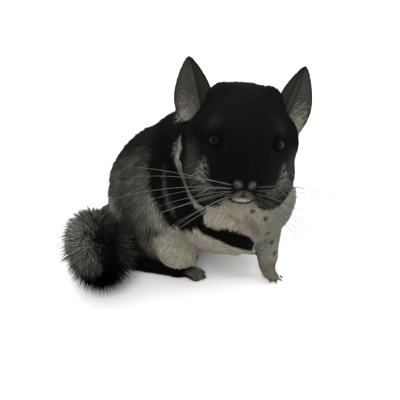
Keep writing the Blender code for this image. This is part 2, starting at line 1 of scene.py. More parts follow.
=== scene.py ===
"""The looks of a life-size chinchilla that squats with its head turned to its right.

The solids of the frame give every place. Numbers are in millimetres of the body's own frame, in which
the trunk's chest faces -Y and the animal's left is +X, or of the head's frame, whose nose points along
-Y, where a name says so.
"""

import itertools
import math

import bmesh
import bpy
import numpy as np
from mathutils import Matrix, Vector, kdtree
from mathutils.bvhtree import BVHTree


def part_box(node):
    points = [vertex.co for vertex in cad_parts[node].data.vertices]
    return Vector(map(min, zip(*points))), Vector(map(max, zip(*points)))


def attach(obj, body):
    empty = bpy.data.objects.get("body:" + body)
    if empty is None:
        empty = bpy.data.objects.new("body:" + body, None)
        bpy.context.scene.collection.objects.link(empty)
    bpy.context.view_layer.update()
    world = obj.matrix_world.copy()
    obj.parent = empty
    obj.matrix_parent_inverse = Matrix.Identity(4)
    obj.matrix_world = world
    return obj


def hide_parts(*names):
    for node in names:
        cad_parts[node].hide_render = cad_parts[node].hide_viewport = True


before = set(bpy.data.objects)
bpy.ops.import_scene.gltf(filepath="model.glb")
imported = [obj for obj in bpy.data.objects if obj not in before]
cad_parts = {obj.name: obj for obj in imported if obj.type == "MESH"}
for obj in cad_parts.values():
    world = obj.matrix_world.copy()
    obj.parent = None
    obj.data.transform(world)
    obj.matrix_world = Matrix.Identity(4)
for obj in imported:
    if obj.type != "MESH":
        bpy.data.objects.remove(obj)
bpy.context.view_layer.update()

MM = 0.001
SEED = 11
SIDES = ((-1, "right"), (1, "left"))
DENSITY = 1.0

# The head's frame in the body's frame, as in the solids.
HEAD_PLACE = (20.6, -13.0, 91.0)
HEAD_TURN = -38.5
HEAD_NOD = 4.0
HEAD_TILT = 5.5
EYE_PLACE = (15.2, -19.6, 8.4)
EYE_RADIUS = 5.6
EYE_FACING = (0.6, -0.78, 0.22)
EYE_OPENING = (3.5, 2.2)  # half its width and half its height
LID_REACH = (4.6, 3.3)  # the same for the part of the lids that lies on the eye
CORNEA_RISE = 0.35
CORNEA_WIDTH = 3.0
RIM_WIDTH = 0.35
RIM_HEIGHT = 0.2
RIM_LIFT = 0.12
NOSE = (0.0, -41.0, -9.0)
# The lines of the face as seen from ahead, in the head's frame.
MOUTH = np.array([(x, 0, -19.0 - 0.03 * x * x) for x in (-7.5, -5, -2.5, 0, 2.5, 5, 7.5)])
CLEFT = np.array([(0, 0, z) for z in (-11, -14, -18.5)])
NOSTRIL = ((1.6, 0, -10.6), (3.4, 0, -10.2), (4.6, 0, -8.9))
WING = ((3.3, 0, -8.2), (3.5, 0, -8.8))

SKIN_VOXEL = 1.0
SKIN_SWELL = 0.45  # closes the gaps between the nodes that the skin replaces
# How far the skin, the hair and the claws keep above the floor, and how low no hair is rooted.
SKIN_FLOOR = 0.2
HAIR_FLOOR = 0.15
CLAW_FLOOR = 0.05
SOLE_HEIGHT = 0.6
FLESH = ("torso", "neck", "haunch_left", "haunch_right", "foreleg_left", "foreleg_right", "tail_base")
FEET = ("hind_foot_left", "hind_foot_right", "forepaw_left", "forepaw_right")

# The trunk's middle line: y, and x there.
MIDDLE = ((-40, -9, 9, 28, 45, 60, 84), (20, 21, 19, 16, 13, 10, 6))

# x, y, z, half width, half height
SKULL = (
    (0, -38, -9.5, 4, 4),
    (0, -36, -9, 9.5, 9.5),
    (0, -32, -7.5, 15.5, 14),
    (0, -26, -5, 21, 18),
    (0, -18, -2.5, 25.5, 22.5),
    (0, -8, 0, 29, 26.5),
    (0, 4, 1.5, 31, 28.5),
    (0, 15, 2, 29, 28),
    (0, 27, 0, 25, 25),
    (0, 35, -2, 14, 15),
)
# Balls of the head, each a centre and three half sizes: crown, temple, cheek and muzzle of one side.
HEAD_BALLS = (
    ((13, 9, 19.7), (11, 14, 12.5)),
    ((19.5, -1, 1), (14, 17, 19)),
    ((19.5, -6, -15), (14, 18, 14.5)),
    ((6.5, -30.5, -13.5), (8.5, 8, 7.5)),
)
NOSE_BALL = ((0, -37, -8), (5.6, 4, 4.4))
CHIN_BALL = ((0, -26, -20.5), (8, 7.5, 6))
# The full fur of the neck, which fills the fold behind the right cheek: x, y, z and half its thickness.
NECK_FILL = ((0, 13, 96, 6), (-3, 13.5, 91, 6), (-4.5, 15, 84, 6.5), (-7, 12, 78, 6), (-9, 8, 73, 5))
TAIL_LINE = (
    (-22, 80, 13), (-31, 73, 17), (-38, 63, 20), (-43, 52, 22), (-48, 41, 23), (-52.5, 32, 23),
    (-56, 25, 23),
)
TAIL_THICK = 9.0  # half the thickness of the tail in its short coat

# The feet: heel and toe tips of the hind ones, and each forepaw's place, the way it points and its wrist.
HIND_FEET = {"right": ((-24, 38), (1, -1)), "left": ((45, 48), (58, 2))}
HIND_TOES = ((-22, -4, 14, 40), (13, 15, 13.5, 9))  # how the toes spread, in degrees, and how long they are
HIND_TOE_THICK = 3.0
HIND_TOE_DROP = 1.2
HIND_TOE_REACH = 15
FOREPAWS = {"left": (34.5, -26.5, 0), "right": (8, -29, 28)}
FOREPAW_WAYS = {"left": (-0.1, -1, 0), "right": (0.9, -0.17, -0.4)}
FORE_TOES = ((-36, -13, 11, 35), (6.3, 7.6, 7.6, 6.3))
FORE_TOE_THICK = 2.1
FORE_TOE_DROP = 0.9
WRIST_BALLS = {"left": (0, 2.5, 8), "right": (0, 6, 4)}

EAR_ROOT = (23.5, 13.0, 3.0)
EAR_TIP = (34.0, 23.0, 41.0)
EAR_HALF_WIDTH = 11.2
EAR_CUP = 5.5
EAR_OUTER = 1.14  # how much wider the outer half is
EAR_OUTWARD = 14.0
EAR_OUTLINE = (
    (0, 0.1, 0.25, 0.4, 0.5, 0.6, 0.7, 0.8, 0.9, 0.96, 1),
    (0.6, 0.78, 0.96, 1.0, 0.95, 0.85, 0.71, 0.54, 0.32, 0.17, 0.02),
)
EAR_THICK = 0.55
EAR_ROWS = 44
EAR_COLUMNS = 28


def about(axis, degrees):
    return Matrix.Rotation(math.radians(degrees), 4, axis)


HEAD = Matrix.Translation(HEAD_PLACE) @ about("Z", HEAD_TURN) @ about("X", HEAD_NOD) @ about("Y", HEAD_TILT)
HEAD_TO_BODY = np.array(HEAD)
BODY_TO_HEAD = np.array(HEAD.inverted())


def find_shift():
    """How far the body's frame lies from the solids' frame, from the places of the two eyes."""
    corners = [corner for word in ("left", "right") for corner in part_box(f"eye_{word}")]
    return sum(corners, Vector()) / 4 / MM - HEAD @ Vector((0, *EYE_PLACE[1:]))


SHIFT = np.array(find_shift())


def to_world(points):
    """Body millimetres to the frame's metres."""
    return (np.asarray(points, float) + SHIFT) * MM


def to_body(points):
    return np.asarray(points, float) / MM - SHIFT


def head_to_body(points):
    return np.asarray(points, float) @ HEAD_TO_BODY[:3, :3].T + HEAD_TO_BODY[:3, 3]


def body_to_head(points):
    return np.asarray(points, float) @ BODY_TO_HEAD[:3, :3].T + BODY_TO_HEAD[:3, 3]


def head_way_to_body(ways):
    return np.asarray(ways, float) @ HEAD_TO_BODY[:3, :3].T


def sided(side, place):
    """A place given for the left side, on the side that is asked for."""
    return np.array(place, float) * (side, 1, 1)


def folded_head(head):
    """Points of the head with the right side carried over to the left."""
    return np.column_stack((np.abs(head[:, 0]), head[:, 1], head[:, 2]))


def unit(vectors):
    return vectors / np.maximum(np.linalg.norm(vectors, axis=-1, keepdims=True), 1e-9)


def smooth(x, low, high):
    """0 below low, 1 above high and a smooth step between them."""
    t = np.clip((x - low) / (high - low), 0, 1)
    return t * t * (3 - 2 * t)


def mix(first, second, share):
    """Rows that go from the first to the second by a share for each."""
    return first + (second - first) * share[:, None]


def noise(points, size, seed=0):
    """Smooth noise from -1 to 1 with lumps of about a size, the same at each run."""
    spots = points / size + 7.31 * seed
    cell = np.floor(spots).astype(np.int64)
    share = spots - cell
    share = share * share * (3 - 2 * share)
    total = np.zeros(len(points))
    for corner in itertools.product((0, 1), repeat=3):
        at = cell + corner
        mixed = (at[:, 0] * 73856093) ^ (at[:, 1] * 19349663) ^ (at[:, 2] * 83492791) ^ (seed * 2654435)
        mixed = (mixed ^ (mixed >> 13)) * 1274126177
        value = ((mixed >> 7) & 0xFFFF) / 32767.5 - 1
        total += value * np.prod(np.where(corner, share, 1 - share), axis=1)
    return total


def linear(colour):
    """A colour of 0 to 255 as a screen shows it, as light."""
    share = np.asarray(colour, float) / 255
    return np.where(share <= 0.04045, share / 12.92, ((share + 0.055) / 1.055) ** 2.4)


def link(name, data):
    thing = bpy.data.objects.new(name, data)
    bpy.context.scene.collection.objects.link(thing)
    return thing


def mesh_of(form, name):
    """The mesh of a form, which is let go."""
    mesh = bpy.data.meshes.new(name)
    form.to_mesh(mesh)
    form.free()
    return mesh


def form_of(*meshes):
    form = bmesh.new()
    for mesh in meshes:
        form.from_mesh(mesh)
    return form


def turn_out(mesh):
    """Turns the faces of a closed mesh outwards."""
    form = form_of(mesh)
    bmesh.ops.recalc_face_normals(form, faces=form.faces)
    form.to_mesh(mesh)
    form.free()


def dress(piece, material, slot, *nodes):
    """Gives a piece its material, lets it ride, and hides the solids that it stands for. The slot is not
    used.
    """
    piece.data.materials.append(material)
    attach(piece, "root")
    if nodes:
        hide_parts(*nodes)


def read(mesh, field, kind, width):
    values = np.empty(len(getattr(mesh, kind)) * width, np.float32)
    getattr(mesh, kind).foreach_get(field, values)
    return values.reshape(-1, width).astype(float)


def places_of(mesh):
    return read(mesh, "co", "vertices", 3)


def normals_of(mesh):
    return read(mesh, "vector", "vertex_normals", 3)


def put(mesh, points):
    """Moves the points of a mesh to places in metres."""
    mesh.vertices.foreach_set("co", points.astype(np.float32).ravel())
    mesh.update()


def spline(rows, steps):
    """A smooth run through rows of numbers, by Catmull and Rom's rule, with so many steps to a span."""
    rows = np.asarray(rows, float)
    run = []
    for i in range(len(rows) - 1):
        a, b, c, d = rows[max(i - 1, 0)], rows[i], rows[i + 1], rows[min(i + 2, len(rows) - 1)]
        for k in range(steps):
            t = k / steps
            run.append(b + 0.5 * t * (c - a + t * (2 * a - 5 * b + 4 * c - d + t * (3 * (b - c) + d - a))))
    run.append(rows[-1])
    return np.array(run)


def along_run(run, place):
    """At places counted in steps of a run: the points there and the way the run goes."""
    low = place.astype(int)
    part = (place - low)[:, None]
    return run[low] * (1 - part) + run[low + 1] * part, unit(run[low + 1] - run[low])


def loft(stations, sides=20, steps=5, square=2.0, pear=0.0, place=Matrix()):
    """A closed body round a line of stations, carried to its place by a matrix."""
    rows = spline(stations, steps)
    points = []
    for i, row in enumerate(rows):
        along = Vector(rows[min(i + 1, len(rows) - 1)][:3] - rows[max(i - 1, 0)][:3]).normalized()
        side = along.cross(Vector((0, 0, 1))).normalized()
        lift = side.cross(along)
        for k in range(sides):
            turn = math.tau * k / sides
            across = math.copysign(abs(math.cos(turn)) ** (2 / square), math.cos(turn))
            rise = math.copysign(abs(math.sin(turn)) ** (2 / square), math.sin(turn))
            wide = row[3] * (1 - pear * rise)
            points.append(place @ (Vector(row[:3]) + side * (wide * across) + lift * (row[4] * rise)))
    faces = [tuple(reversed(range(sides))), tuple(range(len(points) - sides, len(points)))]
    for a in range(len(points) - sides):
        b = a + 1 if (a + 1) % sides else a + 1 - sides
        faces.append((a, b, b + sides, a + sides))
    mesh = bpy.data.meshes.new("block")
    mesh.from_pydata([tuple(point) for point in to_world(points)], [], faces)
    turn_out(mesh)
    return link("block", mesh)


def ball(centre, radii, turn=Matrix(), segments=32):
    """An ellipsoid of three half sizes, carried by a matrix from its own frame."""
    form = bmesh.new()
    bmesh.ops.create_uvsphere(form, u_segments=segments, v_segments=segments * 2 // 3, radius=1.0)
    place = turn @ (Matrix.Translation(centre) @ Matrix.Diagonal((*radii, 1)))
    bmesh.ops.transform(form, matrix=place, verts=form.verts)
    for vert in form.verts:
        vert.co = Vector(to_world([vert.co])[0])
    return link("block", mesh_of(form, "block"))


def skull_blocks():
    """The head in its short coat: skull, crown, temples, cheeks, the muzzle's pads, nose and chin."""
    blocks = [loft(SKULL, sides=40, square=2.9, pear=0.27, place=HEAD)]
    for side, _ in SIDES:
        blocks += [ball(sided(side, centre), radii, HEAD) for centre, radii in HEAD_BALLS]
    return blocks + [ball(*NOSE_BALL, HEAD), ball(*CHIN_BALL, HEAD)]


def toe_lines(toes, palm, drop):
    """For each toe its root, the way it points, its length and its tip."""
    lines = []
    for angle, length in zip(*toes):
        way = Vector((math.sin(math.radians(angle)), -math.cos(math.radians(angle)), 0))
        root = Vector(palm) + way * 1.5
        lines.append((root, way, length, root + way * length - Vector((0, 0, drop))))
    return lines


def toe_blocks(lines, thick, drop, place):
    """The toes of one foot, each with a rounded pad at its end."""
    blocks = []
    for root, way, length, tip in lines:
        blocks.append(loft((
            (*root, thick, thick),
            (*(root + way * (0.35 * length)), thick, thick * 1.05),
            (*(root + way * (0.7 * length) - Vector((0, 0, 0.5 * drop))), thick * 0.95, thick * 0.95),
            (*tip, thick * 0.6, thick * 0.6),
        ), sides=14, steps=4, place=place))
        blocks.append(ball(tip - way * (0.8 * thick), (thick * 0.95,) * 3, place, segments=16))
    return blocks


def forefoot_place(word):
    turn = Vector(FOREPAW_WAYS[word]).normalized().to_track_quat("-Y", "Z").to_matrix().to_4x4()
    return Matrix.Translation(FOREPAWS[word]) @ turn


def hind_foot_place(word):
    heel, tips = HIND_FEET[word]
    way = Vector((tips[0] - heel[0], tips[1] - heel[1], 0))
    return Matrix.Translation((*heel, 0)) @ about("Z", math.degrees(math.atan2(way.x, -way.y))), way.length


def feet():
    """Every foot: its name, side, place and toes, their thickness and drop, and how long its sole is."""
    for _, word in SIDES:
        lines = toe_lines(FORE_TOES, (0, -0.5, 2.9), FORE_TOE_DROP)
        yield f"forepaw_{word}", word, forefoot_place(word), lines, FORE_TOE_THICK, FORE_TOE_DROP, 0
        place, length = hind_foot_place(word)
        lines = toe_lines(HIND_TOES, (0, -(length - HIND_TOE_REACH), 4.0), HIND_TOE_DROP)
        yield f"hind_foot_{word}", word, place, lines, HIND_TOE_THICK, HIND_TOE_DROP, length


def palm_blocks(word, place, length):
    """What lies behind the toes: a palm and a wrist, or the long sole of a hind foot."""
    if not length:
        return [ball((0, 0, 3.6), (5.6, 4.6, 4.0), place), ball(WRIST_BALLS[word], (6, 6, 6.3), place)]
    end = length - HIND_TOE_REACH
    return [loft((
        (0, 4, 7, 4, 5),
        (0, 0, 7.5, 7.5, 8),
        (0, -0.3 * length, 6.5, 7.5, 7.5),
        (0, -0.6 * length, 5.5, 7.5, 6.5),
        (0, -end, 4.5, 7.8, 5.5),
        (0, -end - 3, 4, 5.5, 4),
    ), sides=20, steps=4, place=place)]


def merge(name, things):
    form = form_of(*(thing.data for thing in things))
    for thing in things:
        bpy.data.objects.remove(thing)
    return link(name, mesh_of(form, name))


def swollen(node):
    """A copy of a solid, a little larger, so that it runs into its neighbours."""
    form = form_of(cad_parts[node].data)
    bmesh.ops.remove_doubles(form, verts=form.verts, dist=1e-6)
    form.normal_update()
    for vert in form.verts:
        vert.co += vert.normal * (SKIN_SWELL * MM)
    return link("block", mesh_of(form, node))


def keep_largest(thing):
    """Leaves only the largest of the separate parts of a mesh."""
    form = form_of(thing.data)
    left = set(form.verts)
    islands = []
    while left:
        front = [left.pop()]
        island = list(front)
        while front:
            for edge in front.pop().link_edges:
                for vert in edge.verts:
                    if vert in left:
                        left.discard(vert)
                        island.append(vert)
                        front.append(vert)
        islands.append(island)
    islands.sort(key=len)
    for island in islands[:-1]:
        bmesh.ops.delete(form, geom=island, context="VERTS")
    form.to_mesh(thing.data)
    form.free()


# The lie of the coat on the body: how far out from the trunk's middle line, y, z, the way the hair points
# on the right side, its length and how steeply it stands, in degrees.
COAT = (
    (0, 12, 100, 0, 1, -0.2, 9, 18),
    (0, 30, 96, 0, 1, -0.4, 9, 19),
    (0, 48, 88, 0, 1, -0.6, 10, 19),
    (0, 66, 74, 0, 0.8, -0.9, 10, 19),
    (0, 86, 45, 0, 0.1, -1, 9, 18),
    (20, 5, 96, -0.3, 0.9, -0.5, 9, 19),
    (30, 8, 80, -0.2, 0.6, -0.8, 7, 16),
    (30, -12, 78, -0.1, 0.4, -0.9, 6, 16),
    (34, 12, 60, -0.1, 0.45, -0.9, 8, 18),
    (36, 30, 62, -0.1, 0.55, -0.85, 10, 21),
    (34, 50, 62, -0.1, 0.5, -0.9, 10, 21),
    (26, 72, 55, -0.1, 0.45, -0.9, 11, 19),
    (33, 4, 46, 0, 0.2, -1, 8, 16),
    (28, -10, 52, 0.2, 0.0, -1, 6, 15),
    (30, 6, 32, 0.1, 0.2, -0.9, 6, 15),
    (44, 44, 48, -0.1, 0.3, -0.95, 9, 21),
    (46, 40, 32, 0, 0.25, -0.95, 9, 19),
    (38, 60, 40, 0, 0.35, -0.9, 9, 19),
    (34, 18, 48, 0.1, 0.15, -1, 9, 18),
    (32, 15, 30, 0.1, 0.1, -1, 5, 15),
    (38, 36, 14, 0, 0.1, -1, 5, 18),
    (34, 56, 14, 0, 0.2, -1, 6, 18),
    (0, -41, 60, 0, 0.1, -1, 5, 15),
    (14, -36, 58, -0.1, 0.2, -1, 5, 15),
    (24, -26, 60, -0.1, 0.4, -0.9, 6, 16),
    (0, -36, 42, 0, 0.4, -0.9, 3.5, 14),
    (0, -20, 28, 0, 0.9, -0.4, 4, 15),
    (0, 4, 15, 0, 1, 0, 7, 15),
    (0, 36, 10, 0, 1, 0, 6, 15),
    (18, 0, 22, -0.2, 0.8, -0.4, 7, 16),
    (0, -32, 72, 0, 0.3, -0.95, 6, 18),
)
# The same for single places of the body's frame: x, y, z, the way, length and steepness.
COAT_PLACES = (
    (42, -12, 46, 0.05, -0.05, -1, 6, 22),
    (46, -16, 32, 0, -0.1, -1, 4.5, 20),
    (36, -22, 20, 0, -0.15, -1, 3.2, 18),
    (35, -25, 9, 0, -0.3, -0.9, 2.2, 16),
    (34, -32, 3, 0, -0.95, -0.2, 1.3, 14),
    (-12, -8, 50, 0.35, -0.55, -0.75, 6, 24),
    (-8, -18, 42, 0.55, -0.6, -0.5, 5, 24),
    (0, -25, 36, 0.85, -0.45, -0.35, 4, 22),
    (8, -30, 32, 0.95, -0.2, -0.3, 2, 18),
    (14, -30, 28, 0.95, -0.2, -0.3, 1.4, 14),
    (-25, 40, 9, 0.5, -0.85, -0.1, 3, 18),
    (-14, 22, 8, 0.5, -0.85, -0.1, 3, 18),
    (-4, 6, 6, 0.5, -0.85, -0.1, 3, 18),
    (3, -4, 4, 0.5, -0.85, -0.3, 2.4, 18),
    (46, 48, 9, 0.25, -0.95, -0.1, 3, 18),
    (52, 26, 8, 0.25, -0.95, -0.1, 3, 18),
    (56, 10, 6, 0.25, -0.95, -0.1, 2.2, 16),
    (59, -1, 4, 0.25, -0.95, -0.3, 1.5, 14),
    (2, 86, 24, -0.6, 0.2, -0.7, 9, 28),
    (-8, 88, 18, -0.95, -0.05, -0.2, 9, 28),
    (-20, 84, 14, -0.85, -0.5, 0, 9, 28),
    (-30, 75, 16, -0.65, -0.75, 0.1, 8, 30),
    (-43, 52, 19, -0.4, -0.9, 0, 7, 30),
    (-54, 30, 18, -0.4, -0.9, 0, 7, 30),
)
# The head's hair: y in its frame, and the length and the steepness there.
HAIR_BY_DEPTH = (
    (-41, -36, -30, -20, -6, 8, 24),
    (0.9, 1.3, 1.8, 2.5, 3.6, 5, 7),
    (12, 14, 15, 16, 17, 17, 18),
)
DEPTH_SHARE = 0.85  # how deep under the coat's surface the skin lies, as a share of how high the tips stand
CHUNK = 20000  # points worked on at once


def middle_line(y):
    return np.interp(y, *MIDDLE)


def guide_table():
    """Both tables as rows of x, y, z, the way, length and steepness, with the first on both sides."""
    rows = []
    for out, y, z, across, back, up, length, steep in COAT:
        for side in ((-1, 1) if out else (0,)):
            rows.append((middle_line(y) + side * out, y, z, -side * across, back, up, length, steep))
    table = np.array(rows + list(COAT_PLACES), float)
    table[:, 3:6] = unit(table[:, 3:6])
    return table


GUIDES = guide_table()
# Ellipsoids of the folded head: skull, muzzle, cheek and jowl, each a centre and three half sizes.
HEAD_ROUNDS = (
    ((0, 0, 2), (35, 38, 31)),
    ((0, -26, -10.5), (23, 17, 18)),
    ((17, -5, -12), (18, 20, 18)),
    ((14, -16, -14), (17, 17, 19)),
)


def head_measure(points):
    """How far body points lie from the middle of the head: below 1 they are on it."""
    head = folded_head(body_to_head(points))
    return np.sqrt(np.min([(((head - middle) / half) ** 2).sum(1) for middle, half in HEAD_ROUNDS], axis=0))


def coat_at(points):
    """At body points: the way the hair lies, its length and its steepness in degrees."""
    total = np.zeros((len(points), 5))
    for start in range(0, len(points), CHUNK):
        part = points[start:start + CHUNK]
        gap = ((part[:, None, :] - GUIDES[None, :, :3]) ** 2).sum(2) + 4.0
        weight = gap**-2.5
        weight /= weight.sum(1, keepdims=True)
        total[start:start + CHUNK] = weight @ GUIDES[:, 3:8]
    head = body_to_head(points)
    share = 1 - smooth(head_measure(points), 1.0, 1.25)
    away = unit(head - np.array(NOSE)) + np.array((0, 0.25, -0.12))
    places, lengths, steeps = HAIR_BY_DEPTH
    mine = np.column_stack((
        head_way_to_body(unit(away)),
        np.interp(head[:, 1], places, lengths),
        np.interp(head[:, 1], places, steeps),
    ))
    mixed = total * (1 - share[:, None]) + mine * share[:, None]
    return unit(mixed[:, :3]), mixed[:, 3], mixed[:, 4]


def neighbours_mean(points, edges, share):
    """Moves each point a share of the way to the mean of its neighbours."""
    total = np.zeros_like(points)
    count = np.zeros(len(points))
    np.add.at(total, edges[:, 0], points[edges[:, 1]])
    np.add.at(total, edges[:, 1], points[edges[:, 0]])
    np.add.at(count, edges.ravel(), 1)
    return points * (1 - share) + share * total / np.maximum(count, 1)[:, None]


def mesh_edges(mesh):
    edges = np.empty(len(mesh.edges) * 2, np.int32)
    mesh.edges.foreach_get("vertices", edges)
    return edges.reshape(-1, 2)


def fill_creases(mesh, times):
    """Fills the hollows between the blocks, most behind the head, and leaves what is round as it is."""
    edges = mesh_edges(mesh)
    points = places_of(mesh)
    far = head_measure(to_body(points))
    behind = smooth(far, 0.9, 1.0) * (1 - smooth(far, 1.35, 1.6))
    strength = 0.25 + 0.45 * behind
    for _ in range(times):
        normals = normals_of(mesh)
        target = neighbours_mean(points, edges, 1.0)
        inside = ((target - points) * normals).sum(1) > 0
        share = np.where(inside, strength, 0.04)[:, None]
        points = points + (target - points) * share
        put(mesh, points)


def shrink(mesh, share, steps=4):
    """Takes the surface of the coat down towards the skin, in small steps."""
    edges = mesh_edges(mesh)
    _, length, steep = coat_at(to_body(places_of(mesh)))
    depth = DEPTH_SHARE * length * np.sin(np.radians(steep)) * share
    for _ in range(steps):
        points = places_of(mesh) - normals_of(mesh) * (depth / steps * MM)[:, None]
        put(mesh, neighbours_mean(points, edges, 0.35))


def smooth_crown(mesh, times):
    """Evens out the top of the head."""
    edges = mesh_edges(mesh)
    points = places_of(mesh)
    body = to_body(points)
    share = 0.5 * smooth(body_to_head(body)[:, 2], 8, 16) * (1 - smooth(head_measure(body), 1.0, 1.1))
    for _ in range(times):
        points = neighbours_mean(points, edges, share[:, None])
    put(mesh, points)


def remesh(thing, smoothing):
    """Gives an object an even mesh of its outside, a little smoothed."""
    voxels = thing.modifiers.new("voxels", "REMESH")
    voxels.mode = "VOXEL"
    voxels.voxel_size = SKIN_VOXEL * MM
    soft = thing.modifiers.new("soft", "SMOOTH")
    soft.factor = 0.5
    soft.iterations = smoothing
    shape = bpy.data.meshes.new_from_object(thing.evaluated_get(bpy.context.evaluated_depsgraph_get()))
    thing.modifiers.clear()
    thing.data = shape
    keep_largest(thing)


def near_features(head):
    """Whether points of the head's frame lie round an eye, the nose or the mouth."""
    gap = np.linalg.norm(folded_head(head) - EYE_PLACE, axis=1)
    return (gap < 11) | ((head[:, 1] < -24) & (np.abs(head[:, 0]) < 12) & (head[:, 2] < 0))


def refine(mesh):
    """Divides the faces round the eyes, the nose and the mouth."""
    form = form_of(mesh)
    centres = np.array([face.calc_center_median() for face in form.faces])
    wanted = near_features(body_to_head(to_body(centres)))
    edges = {edge for face, yes in zip(form.faces, wanted) if yes for edge in face.edges}
    bmesh.ops.subdivide_edges(form, edges=list(edges), cuts=1, use_grid_fill=True)
    bmesh.ops.triangulate(form, faces=[face for face in form.faces if len(face.verts) > 4])
    form.to_mesh(mesh)
    form.free()


def line_gap(points, line):
    """The distance from a line of x, y, z and perhaps a half width, less that half width."""
    line = np.asarray(line, float)
    if line.shape[1] == 3:
        line = np.column_stack((line, np.zeros(len(line))))
    if len(line) == 1:
        return np.linalg.norm(points - line[0, :3], axis=1) - line[0, 3]
    best = np.full(len(points), 1e9)
    for a, b in zip(line[:-1], line[1:]):
        along = b[:3] - a[:3]
        t = np.clip(((points - a[:3]) @ along) / (along @ along), 0, 1)
        gap = np.linalg.norm(points - a[:3] - t[:, None] * along, axis=1) - (a[3] + t * (b[3] - a[3]))
        best = np.minimum(best, gap)
    return best


def groove(points, line, width):
    """How near each point lies to a line, 1 on it and 0 far from it."""
    return np.exp(-((line_gap(points, line) / width) ** 2))


def eye_axes(side):
    """The eye's centre and, as rows, the ways across its opening, up it and out of it."""
    facing = unit(sided(side, EYE_FACING))
    across = unit(np.cross(facing, (0, 0, 1)) * side)
    return sided(side, EYE_PLACE), np.array((across, np.cross(across, facing) * side, facing))


def on_eye(head, side):
    """Points of the head's frame in an eye's own axes, and how far out of its opening, 1 on the rim."""
    centre, axes = eye_axes(side)
    local = (head - centre) @ axes.T
    return local, np.hypot(local[:, 0] / EYE_OPENING[0], local[:, 1] / EYE_OPENING[1])


def sculpt_face(mesh):
    """Moves the skin for the lids, the nostrils, the cleft, the mouth, the lips and the folds round them."""
    head = body_to_head(to_body(places_of(mesh)))
    normals = normals_of(mesh) @ HEAD_TO_BODY[:3, :3]
    front = (head[:, 1] < -22) & (head[:, 2] < 2)
    flat = head * (1, 0, 1)
    move = 0.45 * groove(flat, MOUTH + (0, 0, 1.9), 1.1) + 0.55 * groove(flat, MOUTH - (0, 0, 2.0), 1.2)
    move -= 0.9 * groove(flat, MOUTH, 0.75) + 0.9 * groove(flat, CLEFT, 0.7)
    for side, _ in SIDES:
        move += 0.9 * groove(flat, sided(side, WING), 2.0) - 1.3 * groove(flat, sided(side, NOSTRIL), 0.62)
    head += normals * (move * front)[:, None]
    for side, _ in SIDES:
        centre = sided(side, EYE_PLACE)
        local, ring = on_eye(head, side)
        seen = (local[:, 2] > 0) & (np.linalg.norm(local, axis=1) < 13)
        lid = EYE_RADIUS + 0.75 - 0.35 * smooth(ring, 1.1, 1.5)
        target = np.where(ring < 1.0, EYE_RADIUS - 1.0, lid)
        wide_ring = np.hypot(local[:, 0] / LID_REACH[0], local[:, 1] / LID_REACH[1])
        share = np.where(ring < 1.0, 1.0, 1 - smooth(wide_ring, 1.2, 2.3)) * seen
        goal = centre + unit(head - centre) * target[:, None]
        head = head * (1 - share[:, None]) + goal * share[:, None]
    put(mesh, to_world(head_to_body(head)))


def make_skin():
    """One skin for all the flesh, without a seam, inside the solids by the depth of the coat."""
    blocks = [swollen(node) for node in FLESH] + skull_blocks()
    for _, word, place, lines, thick, drop, length in feet():
        blocks += palm_blocks(word, place, length) + toe_blocks(lines, thick, drop, place)
    blocks.append(loft([(*point, TAIL_THICK, TAIL_THICK) for point in TAIL_LINE], sides=20, steps=4))
    blocks += [ball(place[:3], place[3:] * 3) for place in NECK_FILL]
    thing = merge("skin", blocks)
    for first, filling, last in ((6, 60, 0.5), (2, 20, 0.5)):
        remesh(thing, first)
        fill_creases(thing.data, filling)
        shrink(thing.data, last)
    remesh(thing, 3)
    smooth_crown(thing.data, 30)
    refine(thing.data)
    sculpt_face(thing.data)
    points = places_of(thing.data)
    points[:, 2] = np.maximum(points[:, 2], SKIN_FLOOR * MM)
    put(thing.data, points)
    thing.data.shade_smooth()
    return thing


# Colours of the coat, as the screen shows them.
INK = (6, 6, 6)
BLUE_BLACK = (8, 10, 11)
CROWN = (16, 16, 15)
SOOT = (17, 17, 15)
SLATE = (56, 57, 58)
CHARCOAL = (40, 40, 36)
ASH = (98, 97, 90)
LIGHT = (150, 149, 139)
CREAM = (142, 136, 120)
IVORY = (146, 143, 130)
GREENISH = (128, 128, 116)
TAWNY = (112, 98, 84)
BROWN = (50, 44, 36)

# Below this height the flank is pale: y, and z there.
PALE_LINE = (
    (-34, -19, -17.5, -16, -13, -6, 2, 8, 12, 15, 20, 60),
    (90, 80, 64, 48, 44, 42, 42, 39, 36, 33, 31, 30),
)
# Ahead of this y the flank is dark: z, and y there.
DARK_LINE = ((30, 38, 45, 51, 56, 65, 73, 80, 92), (8, 11, 13.5, 17, 22, 25.5, 29, 33.5, 44))
# Above this height the back is dark: y, and z there.
BACK_LINE = ((0, 20, 45, 70, 85), (86, 82, 75, 59, 44))

# A mark is a colour, how strong, how soft its edge, how ragged, and a line of x, y, z and half width.
# These lie on both sides of the body, as given for the right one.
PAIRED_MARKS = (
    ("light patch", (118, 117, 107), 0.9, 2.0, 1.2, (
        (-23, 25, 57, 1), (-22.7, 22.6, 53.5, 2.4), (-22.9, 17.8, 47.6, 3.4), (-21.1, 15.2, 42, 3.6),
        (-18.8, 12.5, 37.5, 3))),
    ("thigh front", IVORY, 0.9, 2.0, 1.0, ((-18, 9, 33, 4), (-17, 9, 26, 7), (-16, 8, 18, 7))),
    ("haunch shade", CHARCOAL, 0.5, 8, 2, ((-34, 42, 52, 6), (-33, 36, 40, 8), (-31, 30, 30, 7))),
    ("thigh foot", SOOT, 0.9, 3, 2, ((-30, 29, 26, 3), (-28, 26, 18, 5), (-27, 25, 12, 5))),
    ("streak", (68, 68, 66), 0.95, 1.0, 0.5, (
        (-15, 16.7, 76, 0.5), (-16.3, 13.6, 68, 1.0), (-17.6, 10.3, 59.8, 1.5), (-17, 7.3, 53.6, 1.8),
        (-19.4, -1.4, 51, 1.5))),
)
